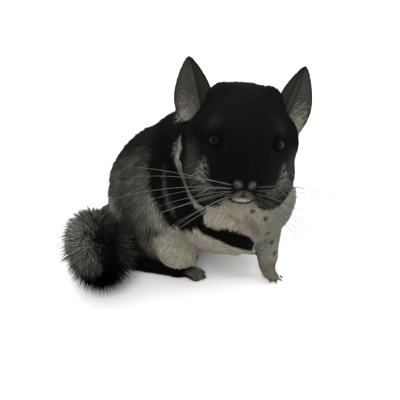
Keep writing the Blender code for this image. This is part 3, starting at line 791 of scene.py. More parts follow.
SINGLE_MARKS = (
    ("upper ring", LIGHT, 0.95, 1.2, 0.5, (
        (-1.6, 7, 101, 1.0), (-2.4, 9.5, 97, 1.3), (-5.6, 8.8, 93.6, 1.7), (-6.8, 9.6, 89, 2.1),
        (-7.2, 10.2, 85, 2.3), (-9.2, 8.2, 81, 2.1), (-11.2, 5.4, 78, 1.6))),
    ("lower ring", ASH, 0.6, 1.2, 0.5, (
        (-12.6, -6.3, 63, 1.0), (-12.7, -10.9, 59.6, 1.4), (-11.2, -15.9, 56.5, 2.2))),
    ("stripe", INK, 1.0, 0.9, 0.6, (
        (-12.2, 12.6, 86, 1.0), (-12.6, 11.5, 76, 1.6), (-13.7, 7.3, 70.7, 1.8), (-14.7, 2.4, 63.7, 2.0),
        (-15.2, -5.5, 58, 2.2), (-14.7, -13, 52, 2.6), (-12, -19.5, 46, 2.6), (-8, -23.5, 44, 3.2),
        (-4.5, -26.8, 43.4, 4.2), (-0.5, -31, 41.3, 5), (5.5, -33.4, 38, 4.6), (11.5, -33, 33.5, 3))),
    ("rump fringe", LIGHT, 0.9, 3, 2, ((-29.4, 51.8, 39, 4.5), (-28, 57, 42, 4), (-31, 43, 39, 3.5))),
    ("left nape", SOOT, 1.0, 2, 1, ((41, 2, 76, 8), (46, -9, 76, 7), (50, -17, 73, 6), (49, -25, 74, 5))),
    # The right foot mark is near black: partly the foot's dark fur and partly painted shade.
    ("right foot", INK, 1.0, 1.6, 0.7, ((-30, 46, 6, 9), (-19, 22, 5, 8), (-12, 10, 5, 8), (-6, 4, 4, 6))),
    ("right toes", (84, 82, 70), 0.9, 2.2, 1.5, ((-4, 0, 7, 4.5), (0, -5, 4, 8))),
    ("left foot", SOOT, 0.9, 2.5, 1, ((44, 52, 9, 9), (52, 26, 8, 9), (55, 14, 8, 7))),
    ("left toes", GREENISH, 0.8, 2.2, 1, ((57, 6, 7, 5), (59, -4, 4, 7))),
    ("foreleg", GREENISH, 0.95, 2, 0.8, (
        (27, -38, 62, 14), (27, -33, 50, 14), (32, -24, 38, 14), (36, -23, 20, 10), (35, -26, 11, 8))),
    ("inner fold", TAWNY, 0.75, 1.8, 0.6, (
        (3, -36, 56, 1.5), (7, -37, 51, 2.8), (11, -37, 46, 3), (14, -35, 42, 2.4))),
    ("bib fold", (118, 106, 88), 0.5, 1.5, 1.0, (
        (-4, -27, 57, 1.2), (-1, -32, 54, 1.4), (3, -35, 52, 1.2))),
    ("paw", TAWNY, 0.8, 2, 0.5, ((35, -26, 8, 6), (34, -34, 3, 6))),
)
# Small dark spots of the left foreleg and the bib: x, y, z and half width.
SPOTS = (
    (7.6, -37.5, 58.6, 1.6), (15.3, -40.4, 52.8, 1.6), (19.7, -38.3, 40.8, 1.7), (33.2, -29.1, 26.3, 1.5),
    (35.5, -29.5, 18.5, 1.3), (37.5, -29, 10, 1.8), (28, -39, 55, 1.3), (4, -36, 62, 1.2),
)
# Marks of the head, in its frame and on both its sides, and the last with streaks.
HEAD_MARKS = (
    ("cheek", (50, 50, 47), 0.95, 5, 1.5, ((28, -10, -5, 7), (26, -16, -14, 8), (18, -20, -22, 6))),
    # The brow mark is a painted highlight: a faint bluish sheen on the dark fur above each eye.
    ("brow", SLATE, 0.25, 4, 1, ((19, -14.5, 17, 4),)),
    ("muzzle side", (34, 34, 33), 0.85, 3, 1, ((10, -32, -14, 5), (11, -29, -20, 4))),
    ("nose pad", (104, 104, 97), 0.95, 1.2, 0.2, ((3.5, -38.5, -8.3, 2.1),)),
    ("ear tuft", IVORY, 0.95, 2, 1.5, ((31, 16, 9, 3.5), (33, 15, 6, 2.5))),
    ("lip", (96, 90, 76), 0.9, 1.6, 0.5, ((1.5, -37, -13.5, 1.4), (3.6, -36, -17, 2.8))),
    ("chin", CREAM, 0.95, 1.4, 0.6, ((0, -29, -27.5, 4.4), (7, -28, -27.5, 3.4))),
    ("lower lip", (172, 167, 153), 1.0, 1.0, 0.4, ((0, -34.5, -21.0, 2.0), (4.6, -34, -20.6, 1.6))),
    ("philtrum", INK, 0.9, 0.4, 0.1, ((0, -40, -11.5, 0.8), (0, -38, -16.8, 0.6))),
    ("nostril", INK, 0.95, 0.4, 0.1, ((1.6, -39, -10.7, 0.5), (3.4, -39, -10.3, 0.6), (4.7, -38, -9, 0.5))),
    ("between the pads", INK, 0.9, 0.4, 0.1, ((0, -40, -6.5, 0.8), (0, -40, -10, 1.0))),
    ("eye rim", INK, 1.0, 1.5, 0.5, ((*EYE_PLACE, 7),)),
)
CHEEK_STREAKS = (
    ("cheek light", (138, 137, 129), 0.78, 3.5, 2, (
        (22, -23, -6, 3), (22, -22, -13, 3.5), (16, -23, -20, 2.5), (9, -26, -24.5, 1.0))),
)


def paint(colours, points, marks, ragged_noise, gate=1.0):
    """Lays marks over the colours of points, one after another."""
    for _, colour, strength, soft, ragged, line in marks:
        share = gate * strength * (1 - smooth(line_gap(points, line) + ragged * ragged_noise, -soft, soft))
        colours += (linear(colour) - colours) * share[:, None]


def mirrored(points):
    """The points of the left half of the body carried over to the right half."""
    middle = middle_line(points[:, 1])
    return np.column_stack((middle - np.abs(points[:, 0] - middle), points[:, 1], points[:, 2]))


def markings(points, roots=None):
    """The colour of the coat at body points, the same for the skin and for every hair."""
    roots = points if roots is None else roots
    lie, _, _ = coat_at(roots)
    streak = points - lie * ((points * lie).sum(1) * 0.8)[:, None]
    fine = noise(streak, 1.1, 3)
    wide = noise(streak, 5.0, 4)
    ragged = 0.6 * fine + 0.7 * wide
    folded = mirrored(points)
    y, z = folded[:, 1], folded[:, 2]
    dark = 1 - smooth(y - np.interp(z, *DARK_LINE) + 2.0 * ragged, -2.5, 2.5)
    back = smooth(z - np.interp(y, *BACK_LINE) + 2 * wide, -7, 6)
    mottle = np.clip(0.5 + 0.35 * noise(points, 4.5, 5) + 0.5 * fine, 0, 1)
    grey = mix(linear(CHARCOAL), linear(ASH), mottle * 0.8)
    colours = mix(grey, linear(SOOT) * 1.2, 0.95 * back)
    colours = mix(colours, linear(SOOT) * (0.6 + 0.35 * mottle)[:, None], dark)
    pale = 1 - smooth(z - np.interp(y, *PALE_LINE) + 2.4 * ragged, -1.6, 1.6)
    inside = 1 - smooth(np.abs(points[:, 0] - middle_line(points[:, 1])), 16, 20)
    pale *= np.maximum(1 - smooth(y + 1.5 * ragged, 12.5, 19.5), (1 - smooth(z, 8, 11)) * inside)
    colours = mix(colours, mix(linear(CREAM), linear(IVORY), 0.5 + 0.5 * wide), pale)
    right = points[:, 0] < middle_line(points[:, 1]) + 4
    paint(colours, np.where(right[:, None], points, folded), PAIRED_MARKS, ragged)
    paint(colours, points, SINGLE_MARKS, ragged)
    for spot in SPOTS:
        share = 0.85 * (1 - smooth(line_gap(points, [spot]) + 0.5 * fine, -0.8, 0.8))
        colours = mix(colours, linear(BROWN) * 0.6, share)
    head = body_to_head(points)
    on_head = 1 - smooth(head_measure(roots) + 0.02 * ragged, 1.0, 1.05)
    face = mix(linear(BLUE_BLACK), linear(CROWN), smooth(head[:, 2], 8, 24)) * (1 + 0.15 * fine)[:, None]
    paint(face, folded_head(head), HEAD_MARKS, ragged)
    paint(face, folded_head(head), CHEEK_STREAKS, ragged, smooth(noise(streak, 1.0, 9), -0.5, 0.6))
    return np.clip(mix(colours, face, on_head), 0.002, 0.9)


def set_colours(mesh, colours):
    """Stores a colour for each vertex."""
    layer = mesh.color_attributes.new("coat", "FLOAT_COLOR", "POINT")
    full = np.ones((len(colours), 4), np.float32)
    full[:, :3] = colours
    layer.data.foreach_set("color", full.ravel())


def surface(name, roughness, specular, gain=1.0, grain=0.1, grain_size=900.0, bump=0.0, colour=None):
    """A material whose colour is stored on the mesh, or plain, with a fine grain."""
    made = bpy.data.materials.new(name)
    made.use_nodes = True
    tree = made.node_tree

    def node(kind, **values):
        new = tree.nodes.new(kind)
        for key, value in values.items():
            new.inputs[key.replace("_", " ")].default_value = value
        return new

    shader = tree.nodes["Principled BSDF"]
    shader.inputs["Roughness"].default_value = roughness
    shader.inputs["Specular IOR Level"].default_value = specular
    if colour is None:
        source = node("ShaderNodeVertexColor")
        source.layer_name = "coat"
    else:
        source = node("ShaderNodeRGB")
        source.outputs[0].default_value = (*linear(colour), 1)
    where = node("ShaderNodeNewGeometry")
    speckle = node("ShaderNodeTexNoise", Scale=grain_size, Detail=3.0)
    tree.links.new(where.outputs["Position"], speckle.inputs["Vector"])
    low, high = gain * (1 - grain), gain * (1 + grain)
    span = node("ShaderNodeMapRange", From_Min=0.3, From_Max=0.7, To_Min=low, To_Max=high)
    tree.links.new(speckle.outputs["Fac"], span.inputs["Value"])
    scaled = node("ShaderNodeVectorMath")
    scaled.operation = "SCALE"
    tree.links.new(source.outputs[0], scaled.inputs[0])
    tree.links.new(span.outputs["Result"], scaled.inputs["Scale"])
    tree.links.new(scaled.outputs["Vector"], shader.inputs["Base Color"])
    if bump:
        relief = node("ShaderNodeBump", Strength=bump, Distance=0.0004)
        tree.links.new(speckle.outputs["Fac"], relief.inputs["Height"])
        tree.links.new(relief.outputs["Normal"], shader.inputs["Normal"])
    return made


def raw_mesh(name, points, triangles):
    """An object from arrays: body points and triangles."""
    mesh = bpy.data.meshes.new(name)
    mesh.vertices.add(len(points))
    mesh.vertices.foreach_set("co", to_world(points).astype(np.float32).ravel())
    mesh.loops.add(triangles.size)
    mesh.loops.foreach_set("vertex_index", triangles.astype(np.int32).ravel())
    mesh.polygons.add(len(triangles))
    mesh.polygons.foreach_set("loop_start", np.arange(0, triangles.size, 3, dtype=np.int32))
    mesh.update(calc_edges=True)
    mesh.shade_smooth()
    return link(name, mesh)


def unwrap(roots, normals):
    """Places on a flat map for the roots of one piece: its shape seen from inside, spread evenly."""
    centre = roots.mean(0) - normals.mean(0) * 6
    offset = roots - centre
    spread, axes = np.linalg.eigh(np.cov(offset.T))
    whole = unit((offset @ axes) / np.sqrt(spread + 1e-6))
    pole = unit((normals.mean(0) @ axes)[None])[0]
    if np.linalg.norm(normals.mean(0)) < 0.1:
        pole = np.array((0.0, 0.0, 1.0))
    side = unit(np.cross(pole, (0.3, 0.9, 0.1))[None])[0]
    up = np.cross(pole, side)
    reach = np.sqrt(np.clip(2 * (1 - whole @ pole), 0, 4))
    spots = unit(np.column_stack((whole @ side, whole @ up))) * reach[:, None]
    low, high = spots.min(0), spots.max(0)
    return 0.01 + 0.975 * (spots - low) / (high - low)


PATCH = 0.003  # how large the place of one lock is on the flat map
LOCK_SECTION = ((0.5, 0.0), (-0.5, 0.0), (0.0, 0.55))
LOCK_FULLNESS = ((0, 0.4, 0.75, 1), (0.75, 1.0, 0.8, 0))


def tufts(name, roots, normals, lies, lengths, steeps, widths, colours, bends=2, tip_light=1.1,
          root_dark=0.7, power=0.7, curl=10.0, softness=0.82, pull=0.0):
    """Tapered locks of hair with three sides, each bending along the lie, as one mesh."""
    lies = unit(lies - normals * (lies * normals).sum(1)[:, None])
    across = np.cross(normals, lies)
    stations = [roots - normals * np.minimum(0.8, 0.3 * lengths)[:, None]]
    for k in range(bends):
        angle = np.radians(np.clip(steeps + curl * (1 - 2 * (k + 0.5) / bends), -10, 88))[:, None]
        step = (lies * np.cos(angle) + normals * np.sin(angle)) * (lengths / bends)[:, None]
        stations.append(stations[-1] + (step + pull * ((k + 1) / bends)))
    fullness = np.interp(np.arange(bends) / bends, *LOCK_FULLNESS)
    count, each = len(roots), 3 * bends + 1
    points = np.empty((count, each, 3))
    shading = np.empty_like(points)
    shades = np.empty((count, each))
    patches = np.empty((each, 2))
    for k in range(bends):
        for j, (wide, high) in enumerate(LOCK_SECTION):
            offset = across * wide + normals * high
            points[:, 3 * k + j] = stations[k] + offset * (widths * fullness[k])[:, None]
            shading[:, 3 * k + j] = unit(normals * softness + offset * (1 - softness) * 2)
            shades[:, 3 * k + j] = root_dark + (tip_light - root_dark) * (k / bends) ** power
            patches[3 * k + j] = (j * 0.5, k / bends)
    points[:, -1] = stations[-1]
    shading[:, -1] = unit(normals + lies * 0.2)
    shades[:, -1] = tip_light
    patches[-1] = (0.5, 1)
    faces = [(0, 1, 2)]
    for k in range(bends - 1):
        for j in range(3):
            a, b = 3 * k + j, 3 * k + (j + 1) % 3
            faces += [(a, a + 3, b + 3), (a, b + 3, b)]
    last = 3 * (bends - 1)
    faces += [(last + j, 3 * bends, last + (j + 1) % 3) for j in range(3)]
    triangles = (np.array(faces)[None] + (np.arange(count) * each)[:, None, None]).reshape(-1, 3)
    points = points.reshape(-1, 3)
    low = points[:, 2] + SHIFT[2] < HAIR_FLOOR
    points[low, 2] = HAIR_FLOOR - SHIFT[2]
    piece = raw_mesh(name, points, triangles)
    mesh = piece.data
    set_colours(mesh, np.clip(np.repeat(colours, each, axis=0) * shades.reshape(-1, 1), 0.001, 0.95))
    mesh.normals_split_custom_set_from_vertices(shading.reshape(-1, 3).astype(np.float32))
    layer = mesh.uv_layers.new(name="OFBake")
    spots = (unwrap(roots, normals)[:, None, :] + (patches * PATCH)[None]).reshape(-1, 2)
    layer.uv.foreach_set("vector", spots[triangles.ravel()].astype(np.float32).ravel())
    return piece


def scatter(mesh, density, draw):
    """Places on the skin, so many to a square millimetre: points and normals."""
    mesh.calc_loop_triangles()
    corners = np.empty(len(mesh.loop_triangles) * 3, np.int32)
    mesh.loop_triangles.foreach_get("vertices", corners)
    corners = corners.reshape(-1, 3)
    points, normals = to_body(places_of(mesh)), normals_of(mesh)
    a, b, c = (points[corners[:, k]] for k in range(3))
    area = 0.5 * np.linalg.norm(np.cross(b - a, c - a), axis=1)
    wanted = np.cumsum(area * density((a + b + c) / 3))
    marks = np.arange(0, wanted[-1], 1.0) + draw.random(int(math.ceil(wanted[-1])))
    chosen = np.searchsorted(wanted, marks[marks < wanted[-1]])
    u, v = draw.random(len(chosen)), draw.random(len(chosen))
    over = u + v > 1
    u[over], v[over] = 1 - u[over], 1 - v[over]
    weights = np.stack((1 - u - v, u, v), 1)[:, :, None]
    return (points[corners[chosen]] * weights).sum(1), unit((normals[corners[chosen]] * weights).sum(1))


def bare(points):
    """Whether body points lie where no hair grows: the eyes' openings, the nostrils and the soles."""
    head = body_to_head(points)
    none = points[:, 2] + SHIFT[2] < SOLE_HEIGHT
    pads = (head[:, 1] < -30) & (np.abs(head[:, 0]) < 5.5)
    for side, _ in SIDES:
        local, ring = on_eye(head, side)
        none |= (ring < 1.12) & (local[:, 2] > 0) & (np.linalg.norm(local, axis=1) < 12)
        none |= pads & (groove(head * (1, 0, 1), sided(side, NOSTRIL), 0.6) > 0.5)
    return none


# The pieces of the coat, each with its slot and the place it is nearest to.
REGIONS = (
    ("coat_face", "dark_fur", head_to_body((0, -30, 0))),
    ("coat_crown", "dark_fur", head_to_body((0, 2, 24))),
    ("coat_cheek_right", "dark_fur", head_to_body((-27, -6, -8))),
    ("coat_cheek_left", "dark_fur", head_to_body((27, -6, -8))),
    ("coat_nape", "grey_fur", (18, 30, 92)),
    ("coat_shoulder_right", "grey_fur", (-12, 8, 66)),
    ("coat_shoulder_left", "grey_fur", (52, 8, 66)),
    ("coat_back_right", "grey_fur", (-8, 58, 66)),
    ("coat_back_left", "grey_fur", (32, 58, 66)),
    ("coat_rump", "grey_fur", (6, 88, 40)),
    ("coat_haunch_right", "grey_fur", (-28, 40, 34)),
    ("coat_haunch_left", "grey_fur", (58, 48, 34)),
    ("coat_bib", "pale_fur", (18, -40, 56)),
    ("coat_belly", "pale_fur", (16, 14, 14)),
    ("coat_foreleg_left", "pale_fur", (38, -20, 26)),
    ("coat_foreleg_right", "dark_fur", (-6, -18, 40)),
    ("coat_hind_foot_right", "pale_fur", (-12, 20, 5)),
    ("coat_hind_foot_left", "pale_fur", (52, 24, 5)),
    ("coat_tail", "brush_hair", (-30, 75, 16)),
)
# By the hair's length: how many grow on a square millimetre, and how wide each is.
HAIR_DENSITY = ((1.5, 3, 5, 9, 12), (5.6, 4.3, 2.8, 2.0, 1.9))
HAIR_WIDTH = ((1.2, 3, 5, 9, 12), (0.42, 0.55, 0.7, 0.85, 0.9))
SHORT_HAIR = 3.4  # below this length a hair is straight
LOCK_HAIRS = 9  # about how many hairs lean together
LOCK_SHARE = 0.22  # how far they lean
TOES_PLACE = ((-4, 7, 6), (4, -6, 4))  # the right hind foot's toes, where the hair is fuller
TOES_WIDTH = 7
SEEN_SHARE = 0.65  # how far along a hair the part lies that shows, and whose place sets its colour


def clump(roots, draw):
    """How far each hair leans towards a seed near it, so that the coat falls in small locks."""
    seeds = roots[draw.random(len(roots)) < 1.0 / LOCK_HAIRS]
    tree = kdtree.KDTree(len(seeds))
    for i, seed in enumerate(seeds):
        tree.insert(seed, i)
    tree.balance()
    nearest = np.array([tree.find(root)[1] for root in roots])
    return LOCK_SHARE * (seeds[nearest] - roots)


def short_coat(skin, material):
    """The whole coat but the tail's long brush, in pieces, in tufts that follow the lie."""
    draw = np.random.default_rng(SEED)

    def density(points):
        return DENSITY * np.interp(coat_at(points)[1], *HAIR_DENSITY)

    roots, normals = scatter(skin.data, density, draw)
    stay = ~bare(roots)
    roots, normals = roots[stay], normals[stay]
    lies, lengths, steeps = coat_at(roots)
    waves = np.column_stack([noise(roots, 9.0, 20 + k) for k in range(3)])
    lies = unit(lies + 0.09 * draw.normal(size=lies.shape) + 0.16 * waves)
    lengths = lengths * draw.uniform(0.75, 1.1, len(roots))
    toes = groove(roots, TOES_PLACE, TOES_WIDTH)
    lengths = lengths * (1 + 0.7 * toes)
    steeps = steeps + draw.normal(0, 3.5, len(roots)) + 4 * noise(roots, 7.0, 31) + 14 * toes
    widths = np.interp(lengths, *HAIR_WIDTH) * draw.uniform(0.8, 1.2, len(roots))
    rise = np.radians(steeps)[:, None]
    seen = roots + (lies * np.cos(rise) + normals * np.sin(rise)) * (SEEN_SHARE * lengths)[:, None]
    colours = markings(seen, roots) * np.exp(draw.normal(0, 0.2, len(roots)))[:, None]
    places = np.array([region[2] for region in REGIONS], float)
    nearest = ((roots[:, None, :] - places[None]) ** 2).sum(2).argmin(1)
    pull = clump(roots, draw) * smooth(lengths, 3, 7)[:, None]
    hairs = (roots, normals, lies, lengths, steeps, widths, colours)
    for number, (name, slot, _) in enumerate(REGIONS):
        mine = nearest == number
        bends = 1 if np.median(lengths[mine]) < SHORT_HAIR else 2
        piece = tufts(name, *(values[mine] for values in hairs), bends=bends, pull=pull[mine] / bends)
        dress(piece, material, slot)


# Where the pale collar shows between head and right shoulder: x, y, z, half its width and its lightness.
COLLAR = np.array((
    (-12, 5, 79, 1.8, 0.7), (-13.4, 1.4, 75.8, 1.5, 0.45), (-13.8, -1.4, 72.4, 1.3, 0.35),
    (-13.3, -3.5, 68.5, 1.5, 0.4), (-13, -6.5, 65, 1.8, 0.5), (-12.7, -10.7, 61.3, 2.1, 0.65),
    (-11.9, -15.9, 57.9, 2.6, 0.9),
))
COLLAR_HAIRS = 1000
COLLAR_WAY = (-0.77, 0.64, 0.0)  # across the collar, level


def collar(tree, material):
    """Pale locks along the collar, each rooted in the nearest skin, with its tip in the collar's line."""
    draw = np.random.default_rng(SEED + 3)
    run = spline(COLLAR[:, :3], 8)
    stops = np.linspace(0, len(run) - 1, len(COLLAR))
    count = int(COLLAR_HAIRS * DENSITY)
    place = draw.uniform(0, len(run) - 1.001, count)
    tips, way = along_run(run, place)
    half, light = (np.interp(place, stops, column) for column in COLLAR[:, 3:].T)
    tips = tips + unit(np.array(COLLAR_WAY)) * (half * draw.uniform(-1, 1, count))[:, None]
    tips = tips + 0.35 * draw.normal(size=(count, 3))
    hits = [tree.find_nearest(Vector(spot)) for spot in to_world(tips - way * 5.0)]
    roots = to_body([hit[0] for hit in hits])
    normals = np.array([hit[1] for hit in hits])
    reach = tips - roots
    lengths = np.linalg.norm(reach, axis=1)
    steeps = np.degrees(np.arcsin(np.clip((reach * normals).sum(1) / lengths, -0.2, 1)))
    colours = linear(IVORY) * (light * draw.uniform(0.7, 1.2, count))[:, None]
    widths = draw.uniform(0.3, 0.42, count)
    piece = tufts("coat_collar", roots, normals, reach, lengths, steeps, widths, colours,
                  tip_light=1.05, root_dark=0.75, curl=6)
    dress(piece, material, "pale_fur")


BRUSH_HAIRS = 12000
BRUSH_REACH = ((0, 0.15, 0.35, 0.6, 0.8, 0.93, 1), (13, 18, 23, 25, 24.5, 22, 17))
# The ways in which the brush is light above, dark ahead and dim below; its darkness ahead, towards the
# camera, is partly the tail's black middle hair and partly painted shade.
BRUSH_WAYS = unit(np.array(((-0.62, 0.72, 0.38), (0.1, 0.5, 0.87), (-0.6, -0.7, 0.35), (0.8, -0.3, -0.4))))


def tail_brush(material):
    """The long hair of the tail, standing out on every side and sweeping towards its end."""
    draw = np.random.default_rng(SEED + 1)
    line = spline(TAIL_LINE, 12)
    count = int(BRUSH_HAIRS * DENSITY)
    share = np.sort(draw.random(count)) ** 0.9
    centre, along = along_run(line, share * (len(line) - 2))
    side = unit(np.cross(along, (0, 0, 1)))
    turn = draw.uniform(0, math.tau, count)
    radial = side * np.cos(turn)[:, None] + np.cross(side, along) * np.sin(turn)[:, None]
    roots = centre + radial * (TAIL_THICK * 0.5 * (1 - 0.5 * share**4))[:, None]
    sweep = 44 + 34 * smooth(share, 0.6, 1.0) + draw.normal(0, 9, count)
    lengths = np.interp(share, *BRUSH_REACH) * (1.03 - 0.12 * np.maximum(radial[:, 2], 0))
    lengths = lengths * draw.uniform(0.7, 1.06, count)
    outer, upper, front, below = (radial @ way for way in BRUSH_WAYS)
    strays = draw.normal(0, 0.16, count)
    # Hairs that point ahead stay dark: partly the tail's black middle hair, partly painted shade.
    above = smooth(upper + strays, 0.45, 1.0) * (1 - smooth(front + strays, -0.2, 0.35))
    light = np.maximum(smooth(outer + strays, 0.3, 1.1) ** 1.2, 0.9 * above)
    # The hairs at the brush's end are darkened: partly the tail's black middle hair, partly painted shade.
    light = light * (1 - 0.8 * smooth(share, 0.7, 0.97))
    under = smooth(below, 0.2, 0.8) * (1 - smooth(share, 0.7, 0.9))
    pale = np.maximum(light, 0.3 * under) * draw.uniform(0.2, 1.5, count)
    colours = mix(linear(INK), linear(LIGHT), pale)
    widths = draw.uniform(0.36, 0.55, count)
    piece = tufts("coat_brush", roots, radial, along, lengths, 90 - sweep, widths, colours, bends=3,
                  tip_light=3.0, root_dark=0.03, power=3.0, curl=14, softness=0.6)
    dress(piece, material, "brush_hair", "tail_brush")


EAR_PANEL = {-1: 0.0, 1: 0.28}  # where across an ear its lighter outer panel begins
# Painted shade: the dark colour of each ear's inner panel, towards the head.
EAR_INNER_SHADE = (27, 27, 23)
EAR_LIGHT = (54, 53, 47)
EAR_CREASE = (62, 61, 55)
EAR_LOW = (84, 83, 76)
EAR_RIM = (16, 16, 14)
EAR_HAIRS = 5200
EAR_PALE = {-1: 1.0, 1: 1.45}  # how light the long hairs of each ear are
EAR_TUFT_HAIRS = 420
EAR_TUFT = ((34.0, 13.5, 11.0), (28.5, 10.5, 1.5))
EAR_TUFT_COLOUR = (174, 170, 158)


def ear_grid(side):
    """An ear's middle surface in the head's frame, how far up and across it each point is, and its way."""
    root, tip = sided(side, EAR_ROOT), sided(side, EAR_TIP)
    along = unit(tip - root)
    out = math.radians(EAR_OUTWARD)
    across = unit(np.cross(along, (side * math.sin(out), -math.cos(out), 0)))
    ahead = np.cross(across, along)
    steps = (np.linspace(0, 0.995, EAR_ROWS + 1), np.linspace(-1, 1, EAR_COLUMNS + 1))
    v, t = np.meshgrid(*steps, indexing="ij")
    lateral = t * side
    wide = EAR_HALF_WIDTH * np.interp(v, *EAR_OUTLINE) * t * np.where(lateral > 0, EAR_OUTER, 1)
    crease = -1.6 * np.exp(-(((lateral + 0.1) / 0.16) ** 2)) * (1 - v) ** 0.5
    ridge = 0.5 * np.exp(-(((lateral - 0.45) / 0.2) ** 2)) * smooth(v, 0.1, 0.4)
    cup = EAR_CUP * (1.2 - v) * np.abs(t) ** 1.5 + crease + ridge
    points = root + (tip - root) * v[..., None] + across * wide[..., None] + ahead * cup[..., None]
    return points, v, lateral, ahead


def make_ear(side, word, material, hair):
    """An ear: a thin cupped shell with a crease, with painted shade on its inner panel towards the head's
    middle, and with hairs on it.
    """
    points, v, lateral, ahead = ear_grid(side)
    normals = unit(np.cross(np.gradient(points, axis=0), np.gradient(points, axis=1)))
    normals *= np.sign((normals * ahead).sum(2, keepdims=True))
    thick = (EAR_THICK * (1 - v) ** 0.3 * (1 - 0.4 * np.abs(lateral) ** 3))[..., None]
    both = np.stack((points + normals * thick, points - normals * thick)).reshape(-1, 3)
    count = v.size
    grid = np.arange(count).reshape(v.shape)
    a, b, c, d = (part.ravel() for part in (grid[:-1, :-1], grid[:-1, 1:], grid[1:, 1:], grid[1:, :-1]))
    front = np.concatenate((np.stack((a, b, c), 1), np.stack((a, c, d), 1)))
    rim = np.concatenate((grid[0, :-1], grid[:-1, -1], grid[-1, :0:-1], grid[:0:-1, 0]))
    after = np.roll(rim, -1)
    edge = np.concatenate((
        np.stack((rim, after + count, after), 1),
        np.stack((rim, rim + count, after + count), 1),
    ))
    triangles = np.concatenate((front, front[:, ::-1] + count, edge))
    ear = raw_mesh(f"ear_skin_{word}", head_to_body(both), triangles)
    turn_out(ear.data)
    faces = [ear_colour(v.ravel(), lateral.ravel(), both[:count], gain, side) for gain in (1.0, 0.45)]
    set_colours(ear.data, np.concatenate(faces))
    ear.data.set_sharp_from_angle(angle=math.radians(70))
    dress(ear, material, "ear_skin", f"ear_{word}")
    ear_hair(word, side, points, normals, v, lateral, hair)


def ear_colour(v, lateral, points, gain, side):
    """The skin of an ear: lighter on its outer panel, dark by the rim, and with painted shade on its inner
    panel towards the head.
    """
    outer = smooth(lateral - EAR_PANEL[side], -0.12, 0.02)
    crease = 0.7 * np.exp(-((lateral / 0.07) ** 2)) * smooth(1 - v, 0, 0.3)
    low = 0.8 * outer * smooth(0.5 - v, 0, 0.35) * (1 - smooth(lateral, 0.55, 0.95))
    rim = 0.85 * smooth(np.abs(lateral), 0.8, 1.0) * smooth(v, 0.1, 0.3)
    # Painted shade on the inner panel, the lighter colour on the outer one.
    base = mix(linear(EAR_INNER_SHADE), linear(EAR_LIGHT), outer * (1.2 - 0.6 * v))
    for colour, share in ((EAR_CREASE, crease), (EAR_LOW, low), (EAR_RIM, rim)):
        base = mix(base, linear(colour), share)
    return base * gain * (1 + 0.12 * noise(points, 1.5, 8))[:, None]


def ear_hair(word, side, points, normals, v, lateral, material):
    """Short hairs on both faces of an ear, longer pale ones on its outer panel, and a tuft at its foot."""
    draw = np.random.default_rng(SEED + 5 + side)
    count = int(EAR_HAIRS * DENSITY)
    place_v = draw.random(count) ** 1.15 * EAR_ROWS * 0.96
    place_t = draw.uniform(0.3, EAR_COLUMNS - 0.3, count)
    i, j = place_v.astype(int), place_t.astype(int)
    fv, ft = (place_v - i)[:, None], (place_t - j)[:, None]

    def pick(grid):
        return (grid[i, j] * (1 - fv) * (1 - ft) + grid[i + 1, j] * fv * (1 - ft)
                + grid[i, j + 1] * (1 - fv) * ft + grid[i + 1, j + 1] * fv * ft)

    where, facing = pick(points), unit(pick(normals))
    up, across = pick(v[..., None])[:, 0], pick(lateral[..., None])[:, 0]
    inner = draw.random(count) < 0.55
    facing = np.where(inner[:, None], facing, -facing)
    along = unit(sided(side, EAR_TIP) - sided(side, EAR_ROOT))
    outward = sided(side, (1, 0.1, 0.1))
    lies = along[None] + outward * (0.6 * np.clip(across, -1, 1))[:, None]
    lies = lies + 0.25 * draw.normal(size=(count, 3))
    pale = inner & (across > 0.0) & (across < 0.75) & (up < 0.15 + 0.42 * draw.random(count))
    many = int(pale.sum())
    lies[pale] = outward * 0.9 + along * 0.6 + 0.15 * draw.normal(size=(many, 3))
    lengths = np.where(pale, draw.uniform(4, 9, count) * (1 - up), draw.uniform(0.8, 1.6, count))
    colours = ear_colour(up, across, where, 1.0, side)
    colours[~inner] *= 0.5
    colours[pale] = linear(IVORY) * EAR_PALE[side] * draw.uniform(0.5, 1.3, (many, 1))
    tuft = int(EAR_TUFT_HAIRS * DENSITY)
    down = draw.random(tuft)[:, None]
    high, low = (sided(side, place) for place in EAR_TUFT)
    where = np.concatenate((where, high * (1 - down) + low * down + draw.normal(0, 1.3, (tuft, 3))))
    ways = unit(sided(side, (0.6, -0.75, 0.2)) + 0.2 * draw.normal(size=(tuft, 3)))
    facing = np.concatenate((facing, ways))
    lies = np.concatenate((lies, sided(side, (0.8, 0.0, -0.6)) + 0.3 * draw.normal(size=(tuft, 3))))
    lengths = np.concatenate((lengths, draw.uniform(3.5, 8.0, tuft)))
    pale = np.concatenate((pale, np.ones(tuft, bool)))
    tuft_colours = linear(EAR_TUFT_COLOUR) * draw.uniform(0.6, 1.3, (tuft, 1))
    colours = np.concatenate((colours, tuft_colours))
    ways = (head_way_to_body(facing), head_way_to_body(lies))
    piece = tufts(f"coat_ear_{word}", head_to_body(where + facing * 0.45), *ways, lengths,
                  np.where(pale, 15.0, 13.0), np.where(pale, 0.3, 0.28), colours, bends=1, tip_light=1.15)
    dress(piece, material, "ear_skin")


